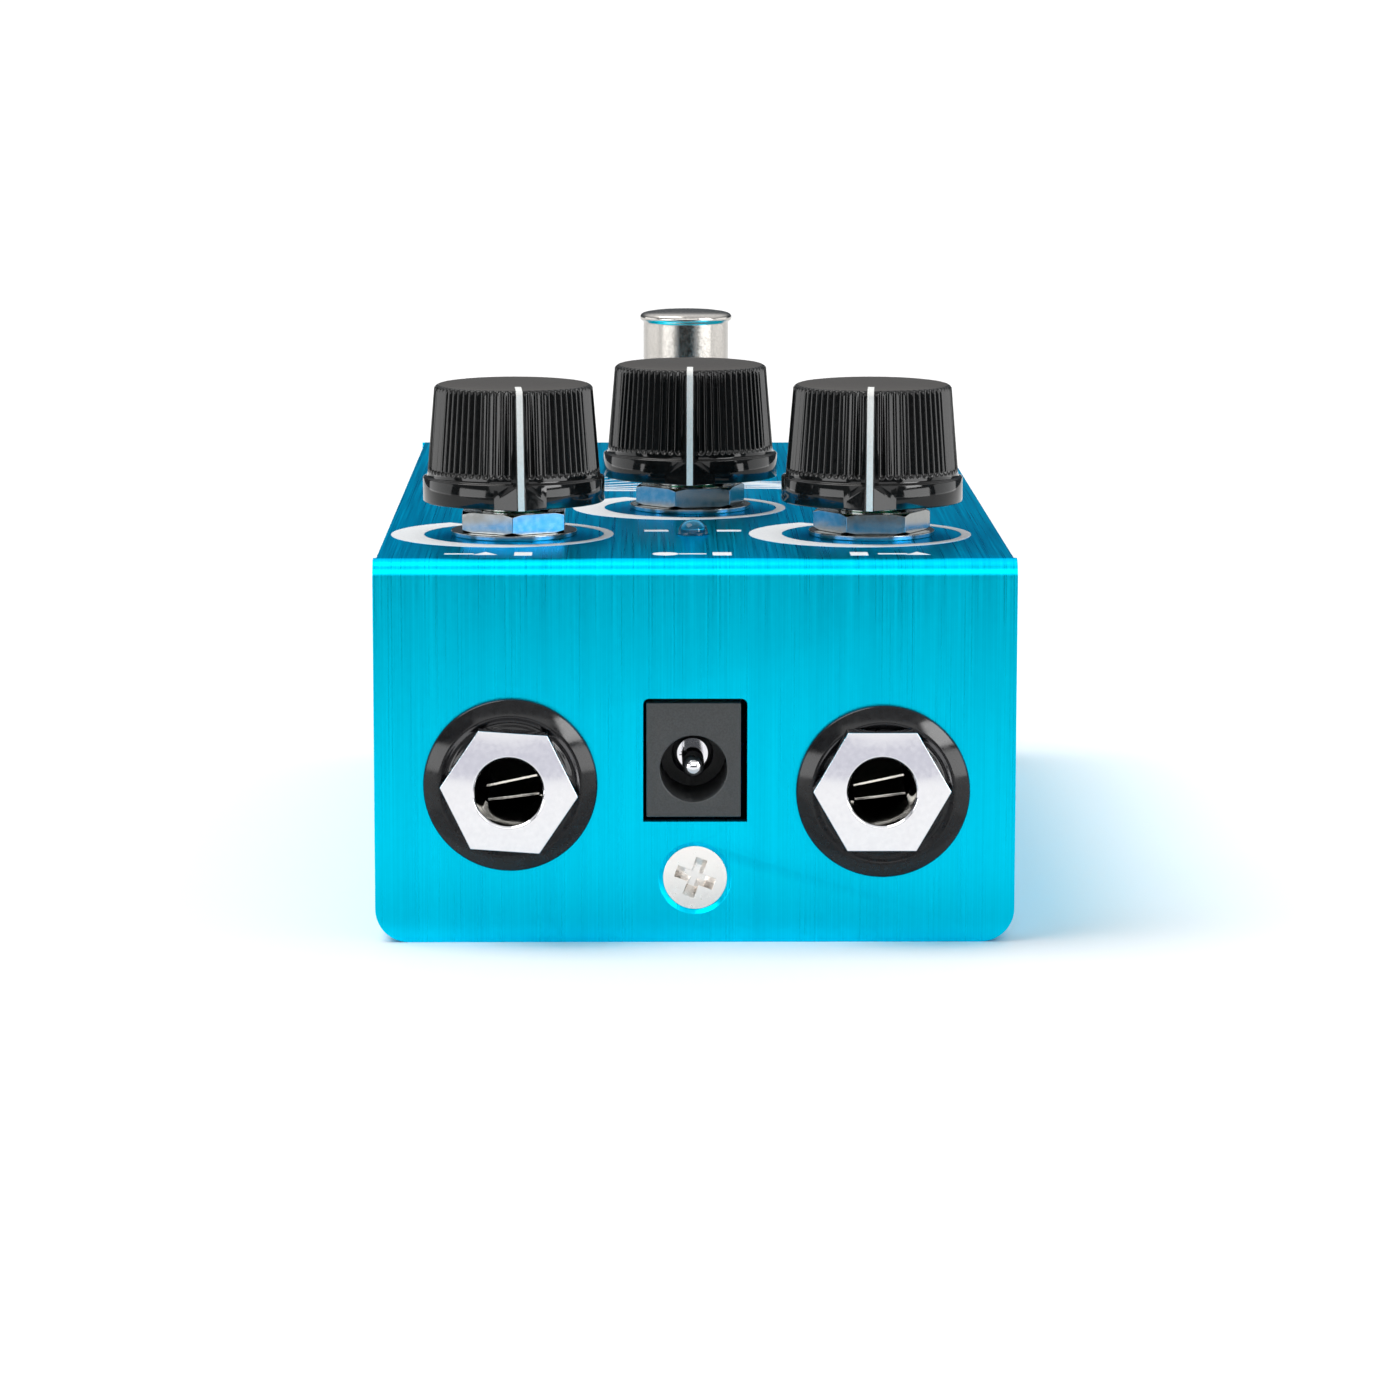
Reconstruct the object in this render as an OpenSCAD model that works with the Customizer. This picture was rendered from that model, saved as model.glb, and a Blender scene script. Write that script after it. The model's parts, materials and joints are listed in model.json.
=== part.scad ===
// Compact guitar effects pedal: a folded sheet case with two signal jacks and a power inlet in its
// rear end, three rotary controls, a lamp and a stomp switch on top, and a circuit board hung
// under the top plate. The origin is the centre of the underside, +Z is up, the jacks face -Y.

/* [Case] */
// Width of the case
case_w = 61; // [58:0.5:80]
// Length of the case
case_l = 111.8; // [92:0.1:150]
// Height of the case
case_h = 36.75; // [36:0.25:50]
// Thickness of the sheet metal
sheet_t = 1.5; // [1:0.1:2]
// Inside radius of the bends between top and ends
top_bend_in_r = 0.2; // [0.1:0.05:1.5]
// Inside radius of the bends between bottom and sides
base_bend_in_r = 1.7; // [0.5:0.1:3]
// How far each long edge of the top plate is set in from the sides
top_inset = 0.3; // [0:0.05:0.6]
// Gap between one folded sheet and the next
sheet_gap = 0.15; // [0.05:0.05:0.4]

/* [Case screws] */
// Height of the screws above the underside
screw_z = 6.2; // [5:0.1:7]
// Diameter of the flat screw head
screw_head_d = 6.3; // [5.5:0.1:7]
// How far the head sits below the sheet's face
screw_sink = 0.3; // [0:0.05:0.5]
// Thread diameter of the screws
screw_thread_d = 3; // [2.5:0.5:3.5]
// Length of the screws, head included
screw_len = 8; // [6:0.5:12]
// Tip-to-tip size of the cross recess
cross_span = 3.5; // [2.5:0.1:4]
// Width of each arm of the cross recess
cross_arm = 0.9; // [0.6:0.1:1.2]
// Turn of the cross recess
cross_turn = 20; // [0:1:90]
// Width of the turned-up tab that each screw holds
tab_w = 18; // [12:0.5:26]
// Height of the tab
tab_h = 10.6; // [9.5:0.1:11]
// Flange diameter of the clinch nut
clinch_flange_d = 7.2; // [6:0.1:8]
// Flange thickness of the clinch nut
clinch_flange_t = 1.6; // [1:0.1:3]
// Shank diameter of the clinch nut
clinch_shank_d = 4.4; // [4:0.1:5]

/* [Signal jacks] */
// Distance of each jack from the centre line
jack_x = 17.61; // [15:0.01:20]
// Drop of the jack axis below the board
jack_drop = 7.88; // [7.5:0.01:9]
// Bore that the plug goes through
plug_bore_d = 6.45; // [6.4:0.01:8]
// Wall of the ferrule's threaded tube
ferrule_wall = 0.98; // [0.8:0.01:1.2]
// Size of the ferrule's hexagon across its flats
ferrule_af = 11.3; // [11:0.05:14]
// Thickness of the ferrule's hexagon
ferrule_head_t = 2.55; // [1.5:0.05:4]
// Depth of ferrule thread inside the jack
ferrule_grip = 2.5; // [2:0.1:6]
// Turn of each ferrule's hexagon, input then output
ferrule_turn = [4, 0]; // [-30:1:30]
// Diameter of the bevelled washer under each ferrule
flange_washer_d = 16.55; // [14:0.05:18]
// Thickness of that washer
flange_washer_t = 1.45; // [1:0.05:2]
// Radial slack between the ferrule tube and its washer
flange_washer_slack = 0.78; // [0.6:0.01:0.9]
// How far each washer sits above its tube's axis, input then output
washer_lift = [0.1, -0.55]; // [-0.7:0.05:0.7]
// How far each washer sits to the right of that axis, input then output
washer_shift = [0.05, 0.25]; // [-0.25:0.05:0.25]
// Width of the jack body
jack_body_w = 15.6; // [14:0.1:18]
// Length of the jack body
jack_body_l = 26; // [22:0.5:30]
// Depth of the jack body below its axis
jack_body_below = 7.5; // [7:0.1:8]
// Space between the jack body and the board it is pinned to
jack_standoff = 1.2; // [1:0.1:2]
// Thickness of the contact springs
contact_t = 0.25; // [0.2:0.05:0.4]
// Height of the tip spring over the axis, and of the sleeve spring
contact_z = [-0.47, -2.06]; // [-2.5:0.01:1.5]
// Slant of the tip spring and of the sleeve spring
contact_tilt = [12, 7]; // [0:1:15]

/* [Power inlet] */
// Width of the inlet body
inlet_w = 9; // [8:0.1:10]
// Height of the inlet body
inlet_h = 11; // [10.5:0.05:11]
// Length of the inlet body
inlet_l = 14.2; // [13:0.1:16]
// Drop of the inlet axis below the board
inlet_drop = 6.35; // [6:0.05:6.5]
// Sideways offset of the inlet in its cut-out
inlet_x = -0.15; // [-0.3:0.05:0.3]
// Bore that the power plug goes into
inlet_bore_d = 6.4; // [6:0.1:6.6]
// Depth of that bore
inlet_bore_depth = 9; // [8.5:0.1:9.5]
// Diameter of the centre pin
inlet_pin_d = 2.1; // [1.9:0.1:2.5]
// Room round the inlet in its cut-out, side to side and up and down
inlet_room = [0.9, 0.85]; // [0.3:0.05:1]
// How far the inlet's face sits inside the case
inlet_recess = 0.3; // [0:0.1:0.6]

/* [Circuit board] */
// Thickness of the board
board_t = 1.6; // [1.2:0.2:2]
// Space between the board and the top plate
board_space = 10.6; // [10.4:0.1:12]
// Margin between the board and each side of the case
board_margin = 4; // [3:0.5:8]
// Gap between the board and the rear end
board_setback = 1; // [0.5:0.1:2]

/* [Rotary controls] */
// Distance of the outer controls from the centre line
pot_x = 17.61; // [17:0.01:20]
// Distance of the outer controls and the lamp from the rear end
outer_pot_back = 20.6; // [18:0.1:24]
// Distance of the middle control from the rear end
middle_pot_back = 43.42; // [41:0.1:48]
// Turn of the left, middle and right knob
knob_rest = [5.5, -1, -4]; // [-150:0.5:150]
// Thread diameter of the control's bushing
pot_thread_d = 7; // [6.5:0.5:8]
// Height of the bushing above its seat under the top plate
pot_bushing_h = 5; // [4.6:0.1:5]
// Shaft diameter inside the bushing
pot_journal_d = 5; // [4:0.1:5.4]
// Shaft diameter inside the knob
pot_shaft_d = 6.35; // [6:0.05:6.6]
// Size of the control's hexagonal nut across its flats
pot_nut_af = 10; // [9:0.5:12]
// Thickness of that nut
pot_nut_t = 2; // [1.5:0.1:2.2]
// Turn of the left, middle and right nut
pot_nut_turn = [30, 14, 2]; // [0:1:60]
// Diameter of the washer under the nut
pot_washer_d = 12.4; // [11:0.1:14]
// Thickness of that washer
pot_washer_t = 0.5; // [0.3:0.1:0.8]

/* [Knobs] */
// Gap between the top plate and the knobs
knob_gap = 3.36; // [3.3:0.02:4.5]
// Height of the knob's fluted rim above its underside
knob_rim_h = 11.5; // [10.5:0.1:14]
// Rise of the knob's domed top above its rim
knob_dome = 0.3; // [0.1:0.05:0.6]
// Diameter of the skirt
skirt_d = 17.83; // [17.4:0.01:24]
// Height of the skirt
skirt_h = 2.45; // [2:0.05:3]
// Diameter of the fluted body where it meets the skirt
knob_low_d = 17; // [16.5:0.05:17.2]
// Diameter of the fluted body at its rim
knob_top_d = 15.55; // [14:0.05:16]
// Width of the pointer rib
rib_w = 1.7; // [1.4:0.1:2.5]
// How far the rib's foot reaches past the skirt
rib_foot = 1.2; // [0.5:0.1:1.5]
// Width of the white pointer line
line_w = 0.62; // [0.4:0.02:1]
// Length of the line on the knob's top
line_top = 1.8; // [1:0.1:4]
// Diameter of the brass insert
insert_d = 9; // [8.5:0.1:10]
// Diameter of the knob's set screw
set_screw_d = 3; // [2.5:0.5:3]

/* [Lamp] */
// Diameter of the lamp's lens
led_d = 3; // [3:0.5:5]

/* [Stomp switch] */
// Distance of the stomp switch from the front end
foot_from_front = 22; // [19:0.5:24]
// Diameter of the button
button_d = 9.5; // [9:0.1:12]
// How far the button's rim stands out all round
button_rim = 0.375; // [0.2:0.025:1]
// Height of the rim above the top plate
button_rise = 16.63; // [15:0.01:20]
// Travel of the button
button_travel = 3; // [2:0.1:3.5]
// Wall of the threaded bushing
foot_bushing_wall = 1.2; // [1:0.1:1.5]
// Length of the threaded bushing
foot_bushing_l = 12; // [10:0.5:13]
// Thickness of the nut
foot_nut_t = 2; // [1.5:0.1:3]
// Width of the switch housing
foot_housing_w = 16; // [15:0.5:18]
// Height of the switch housing
foot_housing_h = 12; // [11:0.5:13]
// Turns of the return spring
foot_spring_turns = 6; // [4:1:8]

/* [Hidden] */
$fn = 64;

// Clearances that several pieces share
press_gap = 0.02;   // radial, between pieces pressed or moulded together
thread_gap = 0.05;  // radial, between a thread and its nut
running_gap = 0.03; // radial, between a shaft and its bearing
cut = 1;            // how far a cutting shape runs past the piece it cuts

// The case
top_bend_r = top_bend_in_r + sheet_t;
base_bend_r = base_bend_in_r + sheet_t;
rear_y = -case_l / 2;
front_y = case_l / 2;
panel_in_y = rear_y + sheet_t;
seat_z = case_h - sheet_t;
tray_l = case_l - 2 * (sheet_t + sheet_gap);
tray_h = seat_z - sheet_gap;
screw_hole_d = clinch_shank_d + 2 * press_gap;
clinch_shank_l = 1;

// The board and what hangs from it
board_top_z = seat_z - board_space;
board_z = board_top_z - board_t;
board_w = case_w - 2 * board_margin;
board_rear_y = panel_in_y + board_setback;
foot_y = front_y - foot_from_front;
foot_frame_t = 0.8;
board_front_y = foot_y - foot_housing_w / 2 - foot_frame_t - 8;
pin_w = 0.8;
pin_below = 0.9;    // how far pins stand out of the board's far face
pin_hole_d = 1.3;

// The signal jacks
jack_z = board_z - jack_drop;
jack_side = [-1, 1];
tube_d = plug_bore_d + 2 * ferrule_wall;
ferrule_back_y = rear_y - flange_washer_t;
ferrule_face_y = ferrule_back_y - ferrule_head_t;
tube_end_y = panel_in_y + ferrule_grip;
tube_hole_d = tube_d + 1;
chamber_y = tube_end_y + 0.8;  // where the jack's inner chamber starts
chamber_w = 7.4;
chamber_h = 9;
jack_wall = 2;
jack_back_y = panel_in_y + jack_body_l;
jack_throat_d = plug_bore_d + 0.55;  // narrow stretch between ferrule and chamber
blade_w = 5;
root_w = 2;
root_x = [1.4, -1.4];
jack_pin_y = [4, 17];  // places of the jack's mounting pins behind the panel

// The power inlet
inlet_z = board_z - inlet_drop;
inlet_face_y = rear_y + inlet_recess;
inlet_floor_y = inlet_face_y + inlet_bore_depth;
inlet_collar_d = 3;
inlet_collar_hole_d = inlet_collar_d + 0.9;
inlet_collar_l = 1.8;
inlet_stem_hole_d = inlet_pin_d + 2 * press_gap;
inlet_tail_t = 0.6;
inlet_lift = 0.45;  // from the inlet's top to the top of its cut-out
inlet_pin_short = 0.6;  // how far the pin's tip stays behind the inlet's face
inlet_strip_w = 2.6;
inlet_strip_t = 0.4;

// The rotary controls
outer_pot_y = rear_y + outer_pot_back;
middle_pot_y = rear_y + middle_pot_back;
pot_places = [[-pot_x, outer_pot_y], [0, middle_pot_y], [pot_x, outer_pot_y]];
can_w = 9.5;
can_front = 4.8;
can_back = 6.2;
can_h = 6.6;
can_roof = 1;
can_cavity_d = 8.5;
can_z = seat_z - can_h;
leg_t = 0.5;
leg_w = 1.8;
wafer_t = 1.4;
wafer_z = can_z - wafer_t;
wafer_back = 8.2;
pot_pin_pitch = 2.5;
pot_pin_y = 7.2;
spigot_d = 6.3;
rotor_gap = 0.3;
rotor_z = can_z + rotor_gap;
rotor_d = 7.4;
rotor_t = 1.2;
bushing_top_z = seat_z + pot_bushing_h;
shoulder_z = bushing_top_z + 0.3;
pot_washer_hole_d = pot_thread_d + 0.3;

// The knobs
knob_z = case_h + knob_gap;
knob_h = knob_rim_h + knob_dome;
knob_recess_d = 13.4;
knob_recess_h = 1.5;
insert_foot = 0.3;
insert_z = knob_recess_h - insert_foot;
insert_top = 9.7;
shaft_top = 9.3;
rib_top_r = knob_top_d / 2 + 0.25;
rib_foot_r = skirt_d / 2 + rib_foot;
line_depth = 0.25;
set_screw_z = 5.6;
set_screw_l = 3.6;

// The lamp
led_flange_d = led_d + 0.9;
led_flange_t = 1;
led_dome_z = case_h - 0.05;
led_flange_z = board_top_z + 7.8;
led_lead_w = 0.5;
led_pitch = 2.54;

// The stomp switch
lock_washer_t = 0.6;
frame_top_z = seat_z - lock_washer_t;
housing_top_z = frame_top_z - foot_frame_t;
housing_z = housing_top_z - foot_housing_h;
housing_wall = 1.2;
foot_plate_t = 1.2;
button_gap = 0.05;
foot_bore_d = button_d + 2 * button_gap;
foot_thread_d = foot_bore_d + 2 * foot_bushing_wall;
foot_bushing_top_z = frame_top_z + foot_bushing_l;
foot_spigot_d = 8.6;
foot_floor_z = frame_top_z + 0.7;
foot_nut_af = foot_thread_d + 2;
button_z = foot_floor_z + button_travel + 0.9;
rim_top_z = case_h + button_rise;
rim_t = 0.85;
button_dome = 0.4;
button_cavity_d = button_d - 2;
button_cavity_top_z = button_z + 7.1;
stem_d = 3.2;
stem_hole_d = stem_d + 2 * button_gap;
slider_w = 11;
slider_t = 2.8;
slider_top_z = housing_top_z - housing_wall - 1.4;
stem_grip = 1.4;
lug_pitch = [4.6, 4.8];
lug_w = 2;
lug_t = 0.7;
lug_head = 0.9;
lug_tip_z = housing_z - foot_plate_t - 5;
switch_board_z = lug_tip_z + 0.8;
frame_side_h = 9;
wire_d = 0.7;
spring_r = 2.7;

// The flat cable between the two boards
ribbon_t = 0.9;
ribbon_w = 9;
ribbon_bend = 1.6;
ribbon_y = board_front_y - 3;
ribbon_z = switch_board_z + board_t;
ribbon_end_y = foot_y - foot_housing_w / 2 + 2;

// Colours
teal = [0.0, 0.62, 0.78];
black = [0.05, 0.05, 0.055];
charcoal = [0.14, 0.14, 0.15];
chrome = [0.85, 0.86, 0.88];
zinc = [0.66, 0.72, 0.75];
brass = [0.78, 0.62, 0.3];
green = [0.05, 0.32, 0.2];

// ---- Shapes that several pieces share ----

// A flat outline (Y, Z) given thickness along X
module along_x(width) {
    rotate([90, 0, 90]) linear_extrude(width, center = true) children();
}

// A flat outline (X, Z) given thickness along Y
module along_y(length) {
    rotate([90, 0, 0]) linear_extrude(length, center = true) children();
}

// A rod along Y
module rod_y(d, from_y, to_y) {
    translate([0, from_y, 0]) rotate([-90, 0, 0]) cylinder(d = d, h = to_y - from_y);
}

// A hexagonal bar standing on Z, sized across its flats
module hex_bar(af, h) {
    cylinder(d = af / cos(30), h = h, $fn = 6);
}

// A flat outline standing on its base line, with round upper corners
module arch(width, height, r) {
    translate([-width / 2, 0]) square([width, height - r]);
    translate([-width / 2 + r, 0]) square([width - 2 * r, height]);
    for (side = [-1, 1])
        translate([side * (width / 2 - r), height - r]) circle(r);
}

// The same outline with its round corners at the bottom
module trough(width, height, r) {
    translate([0, height]) mirror([0, 1]) arch(width, height, r);
}

// A flat ring
module ring(outer_d, inner_d, h) {
    difference() {
        cylinder(d = outer_d, h = h);
        translate([0, 0, -cut]) cylinder(d = inner_d, h = h + 2 * cut);
    }
}

// A hexagonal nut with chamfered corners
module nut(af, bore_d, h) {
    corner_d = af / cos(30);
    chamfer = (corner_d - af) / 2 * 0.6;
    difference() {
        intersection() {
            hex_bar(af, h);
            rotate_extrude()
                polygon([
                    [0, 0], [corner_d / 2 - chamfer, 0], [corner_d / 2 + 0.1, chamfer * 0.6],
                    [corner_d / 2 + 0.1, h - chamfer * 0.6], [corner_d / 2 - chamfer, h], [0, h]
                ]);
        }
        translate([0, 0, -cut]) cylinder(d = bore_d, h = h + 2 * cut);
    }
}

// Things placed at the rear end, and again at the front end turned about Z
module at_both_ends() {
    for (turn = [0, 180])
        rotate([0, 0, turn]) children();
}

module at_pot(i) {
    translate([pot_places[i].x, pot_places[i].y, 0]) children();
}

module at_all_pots() {
    for (i = [0 : 2]) at_pot(i) children();
}

// Knob parts, turned with the knob and standing on its underside
module at_knob(i) {
    at_pot(i) translate([0, 0, knob_z]) rotate([0, 0, knob_rest[i]]) children();
}

module at_jack(i) {
    translate([jack_side[i] * jack_x, 0, jack_z]) children();
}

// ---- Case ----

// The screw seen from its head, drawn along +Y from the face of the case
module case_screw() {
    cone_l = (screw_head_d - screw_thread_d) / 2;
    difference() {
        translate([0, rear_y + screw_sink, screw_z]) rotate([-90, 0, 0]) union() {
            cylinder(d1 = screw_head_d, d2 = screw_thread_d, h = cone_l);
            cylinder(d = screw_thread_d, h = screw_len);
        }
        for (arm = [0, 90])
            translate([0, rear_y + screw_sink, screw_z]) rotate([0, cross_turn + arm, 0])
                cube([cross_span, 2.4, cross_arm], center = true);
    }
}

module screw_countersink() {
    depth = sheet_t + cut;
    mouth_d = screw_head_d + 2 * screw_sink + 2 * press_gap;
    translate([0, rear_y - cut, screw_z]) rotate([-90, 0, 0])
        cylinder(d1 = mouth_d + 2 * cut, d2 = mouth_d - 2 * depth, h = depth + cut);
}

module top_cover() {
    inset_l = case_l - 2 * top_bend_r;
    color(teal)
    difference() {
        intersection() {
            along_x(case_w) difference() {
                arch(case_l, case_h, top_bend_r);
                translate([0, -cut])
                    arch(case_l - 2 * sheet_t, seat_z + cut, top_bend_in_r);
            }
            along_y(case_l) trough(case_w, case_h, base_bend_r);
        }
        for (side = [-1, 1])
            translate([side * (case_w / 2 + cut / 2 - top_inset), 0, case_h])
                cube([cut, inset_l, 2 * sheet_t + 0.02], center = true);
        at_all_pots() translate([0, 0, seat_z - cut])
            cylinder(d = pot_washer_hole_d, h = sheet_t + 2 * cut);
        translate([0, outer_pot_y, seat_z - cut]) cylinder(d = led_d + 0.2, h = sheet_t + 2 * cut);
        translate([0, foot_y, seat_z - cut])
            cylinder(d = foot_thread_d + 0.3, h = sheet_t + 2 * cut);
        for (i = [0, 1]) at_jack(i) rod_y(tube_hole_d, rear_y - cut, panel_in_y + cut);
        translate([0, rear_y, board_z + inlet_lift - inlet_h - inlet_room.y]) along_y(4 * sheet_t)
            arch(inlet_w + inlet_room.x, inlet_h + inlet_room.y, 0.6);
        at_both_ends() screw_countersink();
    }
}

module base_tray() {
    tab_y = -tray_l / 2 + sheet_t / 2;
    color(teal)
    difference() {
        union() {
            along_y(tray_l) difference() {
                trough(case_w, tray_h, base_bend_r);
                translate([0, sheet_t])
                    trough(case_w - 2 * sheet_t, tray_h, base_bend_in_r);
            }
            at_both_ends() translate([0, tab_y, 0]) along_y(sheet_t) arch(tab_w, tab_h, 2);
        }
        at_both_ends() translate([0, 0, screw_z])
            rod_y(screw_hole_d, -tray_l / 2 - cut, -tray_l / 2 + sheet_t + cut);
    }
}

module clinch_nuts() {
    tab_in_y = -tray_l / 2 + sheet_t;
    color(zinc)
    at_both_ends() translate([0, 0, screw_z]) difference() {
        union() {
            rod_y(clinch_flange_d, tab_in_y, tab_in_y + clinch_flange_t);
            rod_y(clinch_shank_d, tab_in_y - clinch_shank_l, tab_in_y + cut);
        }
        rod_y(screw_thread_d + 2 * thread_gap, tab_in_y - 2 * cut, tab_in_y + 3 * cut);
    }
}

module case_screws() {
    color(chrome) at_both_ends() case_screw();
}

// ---- Signal jacks ----

// The part of a contact spring that passes through the jack's rear wall, with a gap round it
module spring_root(i, gap) {
    rotate([0, -contact_tilt[i], 0])
        translate([root_x[i] - root_w / 2 - gap, jack_back_y - jack_wall - cut, contact_z[i] - gap])
            cube([root_w + 2 * gap, jack_wall + 2 * cut, contact_t + 2 * gap]);
}

// A leaf spring that a plug rubs on, with a tail that is soldered into the board
module contact_spring(i) {
    blade_y = chamber_y + 0.1;
    blade_end_y = jack_back_y - jack_wall - 0.2;
    tail_y = jack_back_y + 0.4;
    rotate([0, -contact_tilt[i], 0])
        translate([-blade_w / 2, blade_y, contact_z[i]])
            cube([blade_w, blade_end_y - blade_y, contact_t]);
    spring_root(i, 0);
    translate([root_x[i] - pin_w / 2, tail_y, contact_z[i] - 0.4])
        cube([pin_w, pin_w, jack_drop + board_t + pin_below - contact_z[i] + 0.4]);
}

module jack_pin_places() {
    for (y = jack_pin_y)
        for (side = [-1, 1])
            translate([side * (jack_body_w / 2 - 1.4), panel_in_y + y, 0]) children();
}

module jack_body(i) {
    body_top = jack_drop - jack_standoff;
    color(charcoal)
    at_jack(i) {
        difference() {
            translate([-jack_body_w / 2, panel_in_y, -jack_body_below])
                cube([jack_body_w, jack_body_l, jack_body_below + body_top]);
            rod_y(tube_d + 2 * thread_gap, panel_in_y - cut, tube_end_y + 0.5);
            rod_y(jack_throat_d, tube_end_y, chamber_y + cut);
            translate([-chamber_w / 2, chamber_y, -chamber_h / 2])
                cube([chamber_w, jack_back_y - jack_wall - chamber_y, chamber_h]);
            for (k = [0, 1]) spring_root(k, press_gap);
        }
        jack_pin_places() translate([0, 0, body_top - cut])
            cylinder(d = 1.1, h = cut + jack_standoff + board_t + pin_below);
    }
}

module ferrule(i) {
    color(chrome)
    at_jack(i) difference() {
        union() {
            translate([0, ferrule_back_y, 0]) rotate([90, 0, 0]) rotate([0, 0, -ferrule_turn[i]])
                hex_bar(ferrule_af, ferrule_head_t);
            rod_y(tube_d, ferrule_back_y - cut, tube_end_y);
        }
        rod_y(plug_bore_d, ferrule_face_y - cut, tube_end_y + cut);
    }
}

module flange_washer(i) {
    rim_w = 1.55;
    dish = 0.35;
    hole_r = tube_d / 2 + flange_washer_slack;
    at_jack(i) translate([washer_shift[i], rear_y, washer_lift[i]]) rotate([90, 0, 0]) rotate_extrude()
        polygon([
            [hole_r, 0], [flange_washer_d / 2, 0], [flange_washer_d / 2, 0.45],
            [flange_washer_d / 2 - rim_w, flange_washer_t],
            [ferrule_af / 2 + 0.7, flange_washer_t - dish],
            [ferrule_af / 2 + 0.1, flange_washer_t], [hole_r, flange_washer_t]
        ]);
}

module jack_flange_washers() {
    color(black) for (i = [0, 1]) flange_washer(i);
}

module jack_tip_springs() {
    color(brass) for (i = [0, 1]) at_jack(i) contact_spring(0);
}

module jack_sleeve_springs() {
    color(brass) for (i = [0, 1]) at_jack(i) contact_spring(1);
}

// ---- Power inlet ----

module at_inlet() {
    translate([inlet_x, 0, inlet_z]) children();
}

// The sprung strip along the top of the inlet's bore and its soldered tail, with a gap round them
module inlet_strip(gap) {
    strip_y = inlet_face_y + 2.5;
    strip_z = inlet_bore_d / 2 + 0.1;
    tail_y = inlet_face_y + inlet_l - 3;
    tail_top = inlet_drop + board_t + pin_below;
    translate([-inlet_strip_w / 2 - gap, strip_y - gap, strip_z - gap])
        cube([inlet_strip_w, tail_y + pin_w - strip_y, inlet_strip_t] + 2 * [gap, gap, gap]);
    translate([-pin_w / 2 - gap, tail_y - gap, strip_z])
        cube([pin_w + 2 * gap, pin_w + 2 * gap, tail_top - strip_z]);
}

module inlet_body() {
    color(charcoal)
    at_inlet() difference() {
        translate([-inlet_w / 2, inlet_face_y, inlet_drop - inlet_h])
            cube([inlet_w, inlet_l, inlet_h]);
        rod_y(inlet_bore_d, inlet_face_y - cut, inlet_floor_y);
        rod_y(inlet_collar_hole_d, inlet_floor_y - cut, inlet_floor_y + inlet_collar_l);
        rod_y(inlet_stem_hole_d, inlet_floor_y, inlet_face_y + inlet_l + cut);
        inlet_strip(0.15);
    }
}

module inlet_pin() {
    pin_end_y = inlet_face_y + inlet_l + inlet_tail_t;
    tip_y = inlet_face_y + inlet_pin_short + inlet_pin_d / 2;
    color(chrome)
    at_inlet() {
        rod_y(inlet_pin_d, tip_y, pin_end_y);
        translate([0, tip_y, 0]) sphere(d = inlet_pin_d);
        rod_y(inlet_collar_d, inlet_floor_y + 0.1, inlet_floor_y + inlet_collar_l - 0.2);
        translate([-1.2, pin_end_y - inlet_tail_t + 0.05, -1.2])
            cube([2.4, inlet_tail_t, inlet_drop + board_t + pin_below + 1.2]);
    }
}

module inlet_spring() {
    color(brass) at_inlet() inlet_strip(0);
}

// ---- Lamp ----

module led_lens() {
    color([0.9, 0.95, 1, 0.6])
    translate([0, outer_pot_y, 0]) {
        translate([0, 0, led_flange_z]) cylinder(d = led_flange_d, h = led_flange_t);
        translate([0, 0, led_flange_z]) cylinder(d = led_d, h = led_dome_z - led_flange_z);
        translate([0, 0, led_dome_z]) sphere(d = led_d);
    }
}

module led_leads() {
    color(zinc)
    for (side = [-1, 1])
        translate([side * led_pitch / 2 - led_lead_w / 2, outer_pot_y - led_lead_w / 2,
                   board_z - pin_below])
            cube([led_lead_w, led_lead_w, led_flange_z - board_z + pin_below]);
}

// ---- Circuit board ----

module round_hole() {
    translate([0, 0, board_z - cut]) cylinder(d = pin_hole_d, h = board_t + 2 * cut);
}

module board_holes() {
    at_all_pots() {
        for (k = [-1, 0, 1])
            translate([k * pot_pin_pitch, pot_pin_y, 0]) round_hole();
        for (side = [-1, 1])
            translate([side * (can_w - leg_t) / 2, 0, board_top_z])
                cube([leg_t + 0.6, leg_w + 0.6, 3 * board_t], center = true);
    }
    for (side = [-1, 1]) translate([side * led_pitch / 2, outer_pot_y, 0]) round_hole();
    for (i = [0, 1])
        translate([jack_side[i] * jack_x, 0, 0]) {
            jack_pin_places() translate([0, 0, board_z - cut])
                cylinder(d = 1.5, h = board_t + 2 * cut);
            for (k = [0, 1])
                translate([root_x[k], jack_back_y + 0.4 + pin_w / 2, 0]) round_hole();
        }
    translate([inlet_x, inlet_face_y + inlet_l + 0.35, board_z])
        cube([3, 1.3, 3 * board_t], center = true);
    translate([inlet_x, inlet_face_y + inlet_l - 3 + pin_w / 2, 0]) round_hole();
}

module main_board() {
    color(green)
    difference() {
        translate([-board_w / 2, board_rear_y, board_z])
            cube([board_w, board_front_y - board_rear_y, board_t]);
        board_holes();
    }
}

module board_chips() {
    body = [6.4, 9.6, 3.2];
    lift = 0.5;
    color(charcoal)
    for (side = [-1, 1])
        translate([side * 16, middle_pot_y - 5, board_top_z]) {
            translate([-body.x / 2, -body.y / 2, lift]) cube(body);
            for (leg = [-1.5 : 1 : 1.5])
                for (edge = [-1, 1])
                    translate([edge * (body.x / 2 + 0.3) - 0.4, leg * led_pitch - 0.25, 0])
                        cube([0.8, 0.5, lift + 1.6]);
        }
}

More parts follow.
